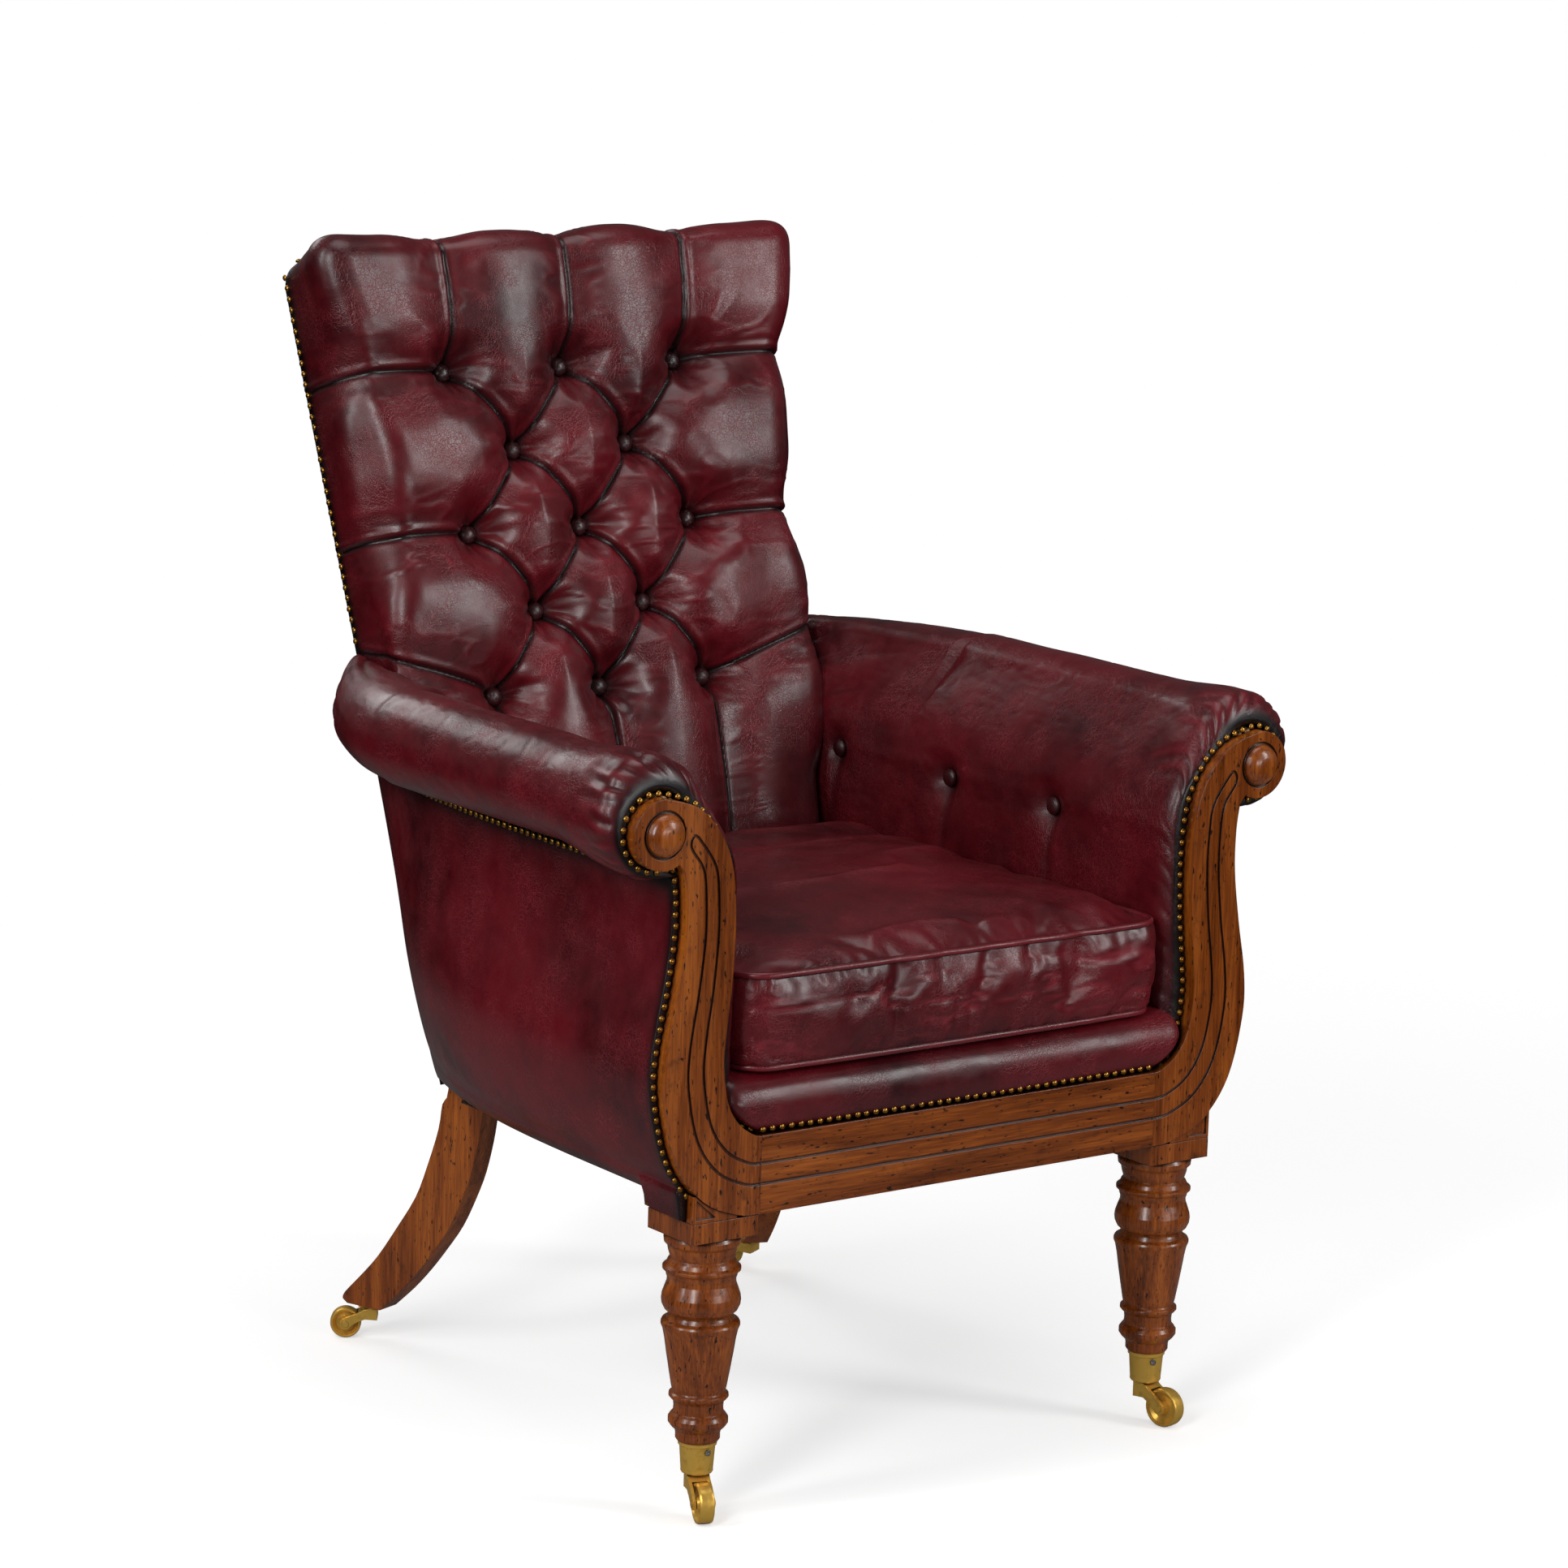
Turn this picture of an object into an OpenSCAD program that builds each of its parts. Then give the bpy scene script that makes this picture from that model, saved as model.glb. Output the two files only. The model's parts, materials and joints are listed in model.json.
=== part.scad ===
// Deep-buttoned leather library armchair with lyre-shaped arm facings, turned front legs,
// sabre rear legs and brass castors. Drawn from the front face of the facings (Y = 0),
// +Y towards the back, +X to the right seen from the front, Z = 0 on the floor.

/* [Facings and rail] */
// Distance between the centres of the two arm scrolls
scroll_spread = 616; // [590:2:640]
// Height of the scroll centres
scroll_h = 580; // [565:1:600]
// Radius of the wooden scroll
scroll_r = 29; // [26:0.5:31]
// Thickness of the facings
facing_t = 12; // [9:0.5:15]
// Length of the front rail between the facings
rail_span = 412; // [400:2:430]
// Height of the underside of the front rail
rail_z = 258; // [252:1:264]
// Height of the front rail
rail_h = 65; // [60:1:70]
// Thickness of the front rail
rail_t = 30; // [24:1:34]
// Width of a reeded groove
groove_w = 2.4; // [1.6:0.2:3.2]
// Depth of a reeded groove
groove_d = 1.6; // [0.8:0.2:2.4]
// Radius of the domed boss on a scroll
boss_r = 17.5; // [14:0.5:19]
// Rise of the domed boss
boss_rise = 10; // [6:0.5:12]

/* [Front legs] */
// Distance between the front leg axes
front_leg_spread = 476; // [460:2:490]
// Distance of the front leg axes behind the facings
front_leg_y = 34; // [32:1:40]
// Side of the square leg block
block_w = 64; // [56:1:68]
// Height of the square leg block
block_h = 17; // [12:1:24]
// Largest radius of the turned leg
turned_r = 32.6; // [28:0.2:34]

/* [Rear legs] */
// Distance between the rear castor pivots
rear_pivot_spread = 420; // [408:2:432]
// Distance of the rear castor pivots behind the facings
rear_pivot_y = 584; // [574:1:594]
// Thickness of a sabre leg
sabre_t = 24; // [20:1:28]
// Angle by which a sabre leg is turned outward
sabre_turn = 20; // [10:1:26]
// Height of the cut foot of a sabre leg
foot_z = 31; // [29:0.5:34]

/* [Back] */
// Rake of the back from the vertical
rake = 15; // [10:0.5:18]
// Half width of the back at its foot
back_half_foot = 191; // [180:1:200]
// Half width of the back at its top
back_half_top = 250; // [230:1:260]
// Height of the foot of the back
back_foot_z = 238; // [230:1:246]
// Distance of the rear face behind the facings at the foot of the back
back_foot_y = 501; // [490:1:515]
// Length of the back along its rake
back_len = 742; // [700:2:780]
// Thickness of the stuffed back
back_t = 80; // [70:1:90]
// Depth of a buttoned pit
pit_d = 40; // [26:1:42]
// Distance between two buttons of the top row
button_pitch = 124; // [110:1:128]
// Distance between two rows of buttons
row_pitch = 72.5; // [64:0.5:74]
// Distance of the top row below the top of the back
row_drop = 104; // [90:1:116]
// Radius of a covered button
button_r = 8.5; // [7:0.5:10]

/* [Arms] */
// Radius of the padded roll
roll_r = 42; // [38:0.5:46]
// Radius of the fuller front end of the roll
roll_front_r = 51; // [46:0.5:54]
// Height of the padded roll's centre
roll_z = 594; // [586:1:600]
// Half width of the seat between the inner arms at the front
seat_half_front = 222; // [216:1:226]
// Half width of the seat between the inner arms at the back
seat_half_rear = 212; // [206:1:216]
// Distance behind the facings at which the arm ends
arm_end_y = 495; // [480:1:500]
// Radius of the rounded rear corner of the arm
arm_corner_r = 85; // [60:1:95]
// Height of the nailed seam under the roll
seam_z = 541; // [530:1:545]
// Thickness of the outer leather panels
panel_t = 2.5; // [2:0.1:3]

/* [Seat] */
// Height of the top of the stuffed seat under the cushion
deck_z = 372; // [366:1:380]
// Height of the cushion between its two piped edges
boxing_h = 80; // [70:1:90]
// Rise of the cushion's crown above its piped edge
crown_h = 20; // [12:1:26]
// Distance of the cushion's front behind the facings
cushion_y = 9; // [5:1:20]
// Length of the cushion from front to back
cushion_len = 438; // [420:1:442]
// Radius of the cushion's piping
piping_r = 3; // [2:0.2:4]

/* [Castors] */
// Radius of a front wheel
front_wheel_r = 17; // [15:0.5:17]
// Radius of a rear wheel
rear_wheel_r = 14; // [12:0.5:14]
// Width of a wheel
wheel_w = 12; // [10:0.5:13]
// Distance from a castor's pivot to its axle
castor_trail = 23; // [21.5:0.5:26]
// Height of the lower rim of a front cup
cup_z = 37; // [36.5:0.1:39]
// Height of a front cup
cup_h = 27; // [22:0.5:30]
// Outer radius of the lower rim of a cup
cup_r = 12.7; // [12:0.1:14]
// Flare of a cup from its lower to its upper rim
cup_flare = 2.6; // [1.5:0.1:3.5]
// Radius of a castor pin
pintle_r = 4; // [3:0.1:4.5]
// Radius of a wheel axle
axle_r = 2.2; // [1.6:0.1:2.6]

/* [Hidden] */

// clearances and small sizes shared by several pieces
touch = 0.3;             // between soft and hidden pieces that lie together
run_gap = 0.05;          // radial, between a pin and its bore
overrun = 1;             // of a cutting body past the face it cuts
nail_strip = 6;          // leather shown round the edge of a facing
core_r = 23;             // radius of the arm rail inside the roll
core_drop = 8;           // of the arm rail's centre below the roll's
core_inset = 2;          // of the roll's centre inside the scroll's
frame_t = 26;            // thickness of a hidden seat rail
frame_h = 50;            // height of a hidden seat rail
frame_lift = 4;          // of the hidden rails above the front rail's underside
frame_inset = 5;         // of a hidden arm post inside the facing's outline
upright_w = 32;
upright_d = 30;
web_t = 1.8;
web_w = 50;
button_sink = 0.6;       // of a button's foot in front of the pit's bottom
rail_x = rail_span / 2;
scroll_x = scroll_spread / 2;
roll_x = scroll_x - core_inset;
core_z = roll_z - core_drop;
leg_x = front_leg_spread / 2;
rear_x = rear_pivot_spread / 2;
block_z = rail_z - overrun - block_h;
frame_z = rail_z + frame_lift;
frame_top = frame_z + frame_h;
corner_y = arm_end_y - arm_corner_r;
seat_low = frame_top + web_t + 2 * touch;
// way each castor trails: front left, front right, rear left, rear right
swivels = [159, 191.5, 55, 27];
curve_steps = 5;
fine = 96;

// the origin lies midway between the front of the bosses and the rear of the back
front_y = -boss_rise;
rear_y = back_foot_y + back_len * sin(rake);
mid_y = (front_y + rear_y) / 2;

function lerp(a, b, t) = a + (b - a) * t;
function clamp01(t) = min(1, max(0, t));
function ease(t) = let (c = clamp01(t)) c * c * (3 - 2 * c);
function reverse(list) = [for (i = [len(list) - 1:-1:0]) list[i]];

// Catmull-Rom curve through points, n steps a span
function spline(p, n) = [
    for (i = [0:len(p) - 2], k = [0:n - 1])
        let (t = k / n, a = p[max(i - 1, 0)], b = p[i], c = p[i + 1], d = p[min(i + 2, len(p) - 1)])
        (2 * b + (c - a) * t + (2 * a - 5 * b + 4 * c - d) * t * t
            + (3 * b - a - 3 * c + d) * t * t * t) / 2,
    p[len(p) - 1]
];

// unit normal of a 2-D path at point i, to the left of its run
function path_normal(p, i) =
    let (d = p[min(i + 1, len(p) - 1)] - p[max(i - 1, 0)])
    [-d[1], d[0]] / norm(d);
function offset_path(p, d) = [for (i = [0:len(p) - 1]) p[i] + path_normal(p, i) * d];
function stroke(p, w) = concat(offset_path(p, w / 2), reverse(offset_path(p, -w / 2)));

// closed solid through planar rings of equally many points, each seen clockwise from the next;
// each end is one face, or the faces of a band's cap
module skin(rings, first = undef, last = undef) {
    n = len(rings[0]);
    m = len(rings);
    whole = [[for (i = [0:n - 1]) i]];
    polyhedron(
        points = [for (ring = rings) each ring],
        faces = concat(
            [for (face = is_undef(first) ? whole : first) reverse(face)],
            [for (face = is_undef(last) ? whole : last) [for (i = face) (m - 1) * n + i]],
            [for (j = [0:m - 2], i = [0:n - 1])
                let (a = j * n + i, b = j * n + (i + 1) % n) each [[a, b, b + n], [a, b + n, a + n]]]
        )
    );
}

// the end of a band: its ring runs along one side for a count of points and back along the
// other, and each triangle joins a point to the nearest ones across the band
function nearest(run, p) = let (d = [for (q = run) norm(q - p)]) search(min(d), d)[0];
function band_cap(ring, count) =
    let (
        n = len(ring),
        side = [for (i = [0:count - 1]) ring[i]],
        back = [for (i = [n - 1:-1:count]) ring[i]],
        middles = [for (j = [0:len(back) - 2]) (back[j] + back[j + 1]) / 2],
        turns = concat([0], [for (p = middles) nearest(side, p)], [count - 1])
    )
    [for (j = [0:len(back) - 1]) each concat(
        [for (i = [turns[j]:1:turns[j + 1] - 1]) [i, i + 1, n - 1 - j]],
        j < len(back) - 1 ? [[turns[j + 1], n - 2 - j, n - 1 - j]] : []
    )];

module chair() { translate([0, -mid_y, 0]) children(); }
module right() { chair() children(); }
module left() { chair() mirror([1, 0, 0]) children(); }
module extrude_y(y, t) { translate([0, y + t, 0]) rotate([90, 0, 0]) linear_extrude(height = t) children(); }

// Facings: matched points of the inner and outer curve, as shares of the way from the
// front rail's end to the scroll's centre, across and up
facing_in_shares = [
    [0, 0.202], [0.079, 0.208], [0.228, 0.242], [0.337, 0.301], [0.386, 0.401], [0.366, 0.488],
    [0.327, 0.602], [0.307, 0.73], [0.317, 0.829], [0.356, 0.91], [0.475, 0.994], [0.693, 1.06],
];
facing_out_shares = [
    [0, 0], [0.208, 0.006], [0.545, 0.053], [0.802, 0.158], [0.931, 0.317], [0.931, 0.435],
    [0.842, 0.584], [0.777, 0.72], [0.772, 0.829], [0.8, 0.9],
];
groove_shares = [0.35, 0.615];
reed_end_share = [0.72, 0.99];

function on_facing(s) = [rail_x + s[0] * (scroll_x - rail_x), rail_z + s[1] * (scroll_h - rail_z)];
facing_in = concat(
    [[rail_x, rail_z + rail_h]],
    [for (i = [1:len(facing_in_shares) - 1]) on_facing(facing_in_shares[i])],
    [[scroll_x, scroll_h + scroll_r]]
);
facing_out = [for (s = facing_out_shares) on_facing(s)];
reed_end = on_facing(reed_end_share);
function reed_line(share) = [for (i = [0:len(facing_out) - 1]) lerp(facing_in[i], facing_out[i], share)];
// height-to-width reading of a facing curve
function across(curve, z) = lookup(z, [for (p = curve) [p[1], p[0]]]);
inner_curve = spline(facing_in, curve_steps);
outer_curve = spline(facing_out, curve_steps);

// the outline of a facing, drawn in by an inset, with its head round a centre of its own
module facing_outline(inset, head, head_r, neck_z) {
    up = [for (p = offset_path(inner_curve, -inset)) if (p[1] <= neck_z) p];
    turn = [for (a = [neck_z > head[1] ? 84 : 160:-6:-125]) head + head_r * [cos(a), sin(a)]];
    polygon(concat(up, turn, reverse(offset_path(outer_curve, inset))));
}

module reed_grooves() {
    up = reed_line(groove_shares[0]);
    down = reed_line(groove_shares[1]);
    turn = groove_w * 2;
    path = concat(
        up,
        [reed_end + [-turn * 1.6, -turn * 1.4], reed_end, reed_end + [turn * 0.6, -turn * 2]],
        reverse(down)
    );
    run = spline(path, curve_steps);
    lead = [[rail_x - overrun, run[0][1]], run[0]];
    polygon(stroke(concat([lead[0]], run, [[rail_x - overrun, run[len(run) - 1][1]]]), groove_w));
}

module boss_ring() {
    translate([scroll_x, scroll_h]) difference() {
        circle(r = boss_r + groove_w, $fn = fine);
        circle(r = boss_r + groove_w / 4, $fn = fine);
    }
}

module facing() {
    color("#8a4a20") difference() {
        extrude_y(0, facing_t)
            facing_outline(0, [scroll_x, scroll_h], scroll_r, scroll_h + scroll_r);
        extrude_y(-overrun, overrun + groove_d) {
            reed_grooves();
            boss_ring();
        }
    }
}

module scroll_boss() {
    flat_r = boss_r / 6;
    dome = [for (a = [0:9:90]) [flat_r + (boss_r - flat_r) * cos(a), boss_rise * sin(a)]];
    color("#7a3d1a") translate([scroll_x, 0, scroll_h]) rotate([90, 0, 0])
        rotate_extrude($fn = fine) polygon(concat([[0, 0]], dome, [[0, boss_rise]]));
}

// Carved bracket that fills the corner between the facing's foot and the leg block
spandrel_rim = 2.5;
spandrel_back = 2;
module spandrel() {
    side_x = leg_x + block_w / 2;
    foot = rail_z - overrun + touch;
    edge = [for (p = outer_curve) if (p[0] >= rail_x + block_w * 0.3 && p[1] <= rail_z + block_w * 0.42) p];
    outline = concat(offset_path(edge, -touch), [[side_x, edge[len(edge) - 1][1]], [side_x, foot],
        [edge[0][0], foot]]);
    color("#7a3d1a") difference() {
        extrude_y(spandrel_back, facing_t - spandrel_back) polygon(outline);
        extrude_y(spandrel_back - overrun, overrun + groove_d)
            polygon([[side_x - spandrel_rim, rail_z + spandrel_rim],
                [side_x - spandrel_rim, rail_z + block_w * 0.3],
                [leg_x + block_w * 0.16, rail_z + spandrel_rim]]);
    }
}

module front_rail() {
    color("#8a4a20") chair() difference() {
        translate([-rail_x + touch / 10, 0, rail_z]) cube([rail_span - touch / 5, rail_t, rail_h]);
        for (share = groove_shares)
            translate([-rail_x - overrun, -overrun, rail_z + rail_h * (1 - share) - groove_w / 2])
                cube([rail_span + 2 * overrun, overrun + groove_d, groove_w]);
    }
}

// Turned front leg: radii as shares of the largest radius, heights as shares of the turned length
turning_shares = [
    [0.92, 1], [0.975, 0.978], [0.96, 0.955], [0.88, 0.94], [0.86, 0.918], [0.84, 0.905], [0.8, 0.882],
    [0.86, 0.868], [0.9, 0.85], [0.985, 0.838], [0.985, 0.826], [0.91, 0.814], [0.89, 0.797],
    [0.865, 0.785], [0.87, 0.765], [0.93, 0.735], [0.985, 0.705], [1, 0.682], [0.985, 0.66],
    [0.92, 0.635], [0.83, 0.62], [0.81, 0.61], [0.84, 0.6], [0.86, 0.59], [0.97, 0.58], [0.995, 0.57],
    [0.995, 0.56], [0.95, 0.54], [0.9, 0.495], [0.84, 0.42], [0.77, 0.34], [0.7, 0.265], [0.672, 0.243],
    [0.7, 0.236], [0.75, 0.228], [0.755, 0.215], [0.7, 0.203], [0.64, 0.195], [0.625, 0.165],
    [0.64, 0.14], [0.7, 0.128], [0.757, 0.112], [0.757, 0.09], [0.69, 0.072], [0.58, 0.052],
    [0.565, 0.035], [0.565, 0.012], [0.52, 0],
];

cup_wall = 1.8;
module front_leg() {
    low = cup_z + cup_h + touch / 2;
    high = block_z;
    tenon_low = cup_z + cup_h / 3 + touch;
    run = [for (s = turning_shares) [s[0] * turned_r, lerp(low, high, s[1])]];
    tenon_r = cup_r - cup_wall - touch;
    color("#7a3d1a") {
        translate([leg_x, front_leg_y, 0]) difference() {
            union() {
                rotate_extrude($fn = fine) polygon(concat(
                    [[0, high]], run,
                    [[tenon_r + cup_flare - touch, low], [tenon_r + cup_flare / 3, tenon_low], [0, tenon_low]]
                ));
                translate([-block_w / 2, -block_w / 2, high - touch / 10]) cube([block_w, block_w, block_h]);
                translate([-block_w / 2 + 4 * touch, rail_t - front_leg_y + touch, high])
                    cube([block_w - 16 * touch, block_w / 2 + front_leg_y - rail_t - touch, frame_top - high]);
            }
            translate([0, 0, tenon_low - overrun]) cylinder(r = pintle_r + touch, h = cup_h / 3, $fn = fine);
        }
    }
}

// Sabre rear leg: outline in its own upright plane, from the rear corner of the foot,
// as shares of the leg's sweep forward and of its height above the foot
sabre_back_shares = [
    [1.045, 1], [1.045, 0.775], [0.985, 0.72], [0.95, 0.637], [0.845, 0.512], [0.73, 0.4], [0.54, 0.284],
    [0.36, 0.182], [0.2, 0.11], [0.02, 0.035], [0, 0.012],
];
sabre_front_shares = [
    [0.38, 0], [0.575, 0.072], [0.745, 0.146], [0.915, 0.232], [1.06, 0.314], [1.185, 0.414],
    [1.275, 0.502], [1.345, 0.609], [1.38, 0.694], [1.4, 0.785], [1.4, 1],
];
sabre_sweep = 111;       // from the foot's rear corner forward to the top's rear edge
foot_chamfer = 5;

module rear_leg() {
    rise = frame_top - foot_z;
    function at(s) = [s[0] * sabre_sweep, foot_z + s[1] * rise];
    // the foot's middle stands over the castor pivot
    foot_mid = (sabre_front_shares[0][0] * sabre_sweep + foot_chamfer) / 2;
    back_run = spline([for (s = sabre_back_shares) at(s)], 3);
    front_run = spline([for (s = sabre_front_shares) at(s)], 3);
    color("#8a4a20") translate([rear_x, rear_pivot_y, 0]) rotate([0, 0, -sabre_turn]) difference() {
        translate([-sabre_t / 2, foot_mid, 0]) rotate([90, 0, 90]) mirror([1, 0, 0])
            linear_extrude(height = sabre_t)
                polygon(concat(back_run, [[foot_chamfer, foot_z]], front_run));
        translate([0, 0, foot_z - overrun])
            cylinder(r = pintle_r + touch, h = pintle_reach() + 2 * overrun, $fn = fine);
    }
}

function pintle_reach() = cup_h / 2;

// Hidden seat frame: side rails from the front legs, shaped blocks from there to the rear legs
module side_rail() {
    y0 = front_leg_y + block_w / 2 + touch;
    color("#b58a5a") translate([leg_x - frame_t, y0, frame_z]) cube([frame_t, corner_y - y0, frame_h]);
}

// outer face of a rear leg's post, as seen from above
function sabre_face(y) = rear_x + sabre_t / 2 / cos(sabre_turn) + (y - rear_pivot_y) * tan(sabre_turn);
function post_y(share) = rear_pivot_y - sabre_sweep * (share - sabre_front_shares[0][0] / 2) * cos(sabre_turn);

module rear_corner_block() {
    post_front = post_y(sabre_front_shares[9][0]);
    side_x = slab_side(frame_z);
    outer = [for (a = [0:15:75])
        [lerp(side_x, leg_x + under_rail_shares[2][0] * block_w, cos(a)) - panel_t - 2 * touch,
            corner_y + touch / 3 + (arm_corner_r - panel_t - 2 * touch) * sin(a)]];
    last_y = outer[len(outer) - 1][1];
    color("#b58a5a") translate([0, 0, frame_z]) linear_extrude(height = frame_h)
        polygon(concat(outer, [[sabre_face(last_y) + touch, last_y],
            [sabre_face(post_front) + touch, post_front], [leg_x - frame_t, corner_y + touch / 3]]));
}

module back_rail() {
    half = sabre_face(post_y(1.4)) - sabre_t / cos(sabre_turn) - 2 * touch;
    color("#b58a5a") chair() translate([-half, arm_end_y - frame_t - 2 * touch, frame_z])
        cube([2 * half, frame_t, frame_h]);
}

module front_corner_blocks() {
    leg = 2 * frame_t;
    y0 = rail_t + touch;
    inner = rail_x - touch;
    color("#b58a5a") chair() for (side = [-1, 1]) scale_x(side)
        translate([0, 0, frame_z]) linear_extrude(height = frame_h)
            polygon([[inner, y0], [inner, y0 + leg], [inner - leg, y0]]);
}
module scale_x(side) { if (side > 0) children(); else mirror([1, 0, 0]) children(); }

// Back frame, drawn in the plane of the back: X across, -Y forward, Z up the rake
module in_back() { chair() translate([0, back_foot_y, back_foot_z]) rotate([-rake, 0, 0]) children(); }
function back_half(u) = lerp(back_half_foot, back_half_top, u / back_len);
flare = atan((back_half_top - back_half_foot) / back_len);
upright_back = panel_t + touch + 0.2 * panel_t;

module back_upright(side) {
    low_cut = frame_top + touch / 3;
    color("#b58a5a") difference() {
        in_back() scale_x(side) translate([back_half_foot - panel_t - 4 * touch, -upright_back, 0])
            rotate([0, flare, 0]) translate([-upright_w, -upright_d, 0])
                cube([upright_w, upright_d, back_len - 4 * panel_t]);
        chair() translate([-scroll_x, 0, -overrun]) cube([scroll_spread, 2 * rear_y, low_cut + overrun]);
    }
}

module back_rail_between(u, h) {
    low = back_half(u) - upright_w - panel_t - 6 * touch;
    high = back_half(u + h) - upright_w - panel_t - 6 * touch;
    in_back() translate([0, -upright_back - upright_d, 0]) rotate([90, 0, 0]) mirror([0, 0, 1])
        linear_extrude(height = upright_d)
            polygon([[-low, u], [low, u], [high, u + h], [-high, u + h]]);
}

rail_wide = 46;          // width of the rails across the back
top_rail_u = back_len - rail_wide - 4 * panel_t;
lower_rail_u = 92;       // height of the lower back rail along the rake
module back_top_rail() { color("#b58a5a") back_rail_between(top_rail_u, rail_wide); }
module back_lower_rail() { color("#b58a5a") back_rail_between(lower_rail_u, rail_wide); }

module back_webbing() {
    u0 = lower_rail_u + rail_wide / 2;
    u1 = top_rail_u + rail_wide / 2;
    across_n = 5;
    half = back_half(u0) - upright_w - web_w / 2 - 4 * touch;
    lift = upright_back + upright_d + touch / 3;
    color("#c8b48a") in_back() {
        for (k = [-1.5:1:1.5])
            translate([k * half / 2 - web_w / 2, -lift - web_t, u0]) cube([web_w, web_t, u1 - u0]);
        for (k = [1:across_n]) {
            u = lerp(u0, u1, k / (across_n + 1));
            reach = back_half(u) - upright_w / 2;
            translate([-reach, -lift - web_t, u - web_w / 2]) cube([2 * reach, web_t, web_w]);
        }
    }
}

// Hidden arm frame: a stump behind each facing, the round rail of the roll, and a rear post
arm_post_t = 24;
arm_post_y = corner_y - arm_post_t;
neck_z = scroll_h - core_drop;   // where a post or stump turns in to the arm rail
module arm_section(low) {
    difference() {
        facing_outline(frame_inset, [roll_x, core_z], core_r, neck_z);
        translate([0, low - scroll_h]) square([scroll_spread, scroll_h]);
        translate([0, rail_z - overrun]) square([rail_x + frame_inset, scroll_h]);
    }
}

module arm_stump() {
    y0 = facing_t + touch / 3;
    color("#b58a5a") extrude_y(y0, rail_t - y0) arm_section(rail_z);
}

module arm_rail() {
    color("#b58a5a") extrude_y(rail_t + touch / 3, arm_post_y - rail_t - touch)
        translate([roll_x, core_z]) circle(r = core_r, $fn = fine);
}

module arm_rear_post() {
    color("#b58a5a") extrude_y(arm_post_y, arm_post_t) arm_section(frame_top + touch / 3);
}

module seat_webbing() {
    z = frame_top + touch / 3;
    y0 = rail_t + touch;
    y1 = arm_end_y - frame_t / 2;
    reach = leg_x - frame_t / 2;
    inner = leg_x - frame_t - block_w / 2;
    color("#c8b48a") chair() {
        for (k = [-1.5:1:1.5]) translate([k * inner / 2 - web_w / 2, y0, z]) cube([web_w, y1 - y0, web_t]);
        for (k = [1:4]) translate([-reach, lerp(y0, arm_post_y, k / 4) - web_w - touch, z])
            cube([2 * reach, web_w, web_t]);
    }
}

module dust_cover() {
    y0 = rail_t + touch;
    leg_edge = leg_x - block_w / 2 - touch;
    leg_back = front_leg_y + block_w / 2 + touch;
    wide = leg_x - frame_t / 3;
    post_edge = sabre_face(post_y(1.4)) - sabre_t / cos(sabre_turn) - 2 * touch;
    right_side = [[leg_edge, y0], [leg_edge, leg_back], [wide, leg_back], [wide, corner_y],
        [post_edge, corner_y + frame_t], [post_edge, arm_end_y - frame_t / 2]];
    left_side = [for (p = reverse(right_side)) [-p[0], p[1]]];
    color("#1b1714") chair() translate([0, 0, frame_z - web_t - touch / 3])
        linear_extrude(height = web_t) polygon(concat(right_side, left_side));
}

// Stuffed seat: front roll over the rail, and the deck under the cushion
roll_gap = 1;            // between the front roll's ends and the facings
// height share of the roll, and its set-back from its foremost line as a share of its height
front_roll_shares = [[0, 0.16], [0.1, 0.07], [0.25, 0.02], [0.45, 0], [0.65, 0.03], [0.82, 0.12],
    [0.93, 0.3], [1, 0.6]];
module seat_deck() {
    lip = rail_z + rail_h + touch;
    back = arm_end_y - upright_d / 2;
    behind = rail_t + touch;
    roll_h = deck_z - lip;
    bow = roll_h / 30;
    function ring(z, y, half) = concat([[-half, back, z]],
        [for (k = [-5:5]) [half * k / 5, y + bow * pow(k / 5, 2), z]], [[half, back, z]]);
    rows = concat(
        [ring(seat_low, behind, rail_x - roll_gap), ring(lip - touch / 2, behind, rail_x - roll_gap)],
        [for (s = front_roll_shares) let (z = lip + s[0] * roll_h)
            ring(z, s[1] * roll_h, across(inner_curve, z) - roll_gap)]
    );
    color("#6a1a24") chair() skin(reverse(rows));
}

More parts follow.
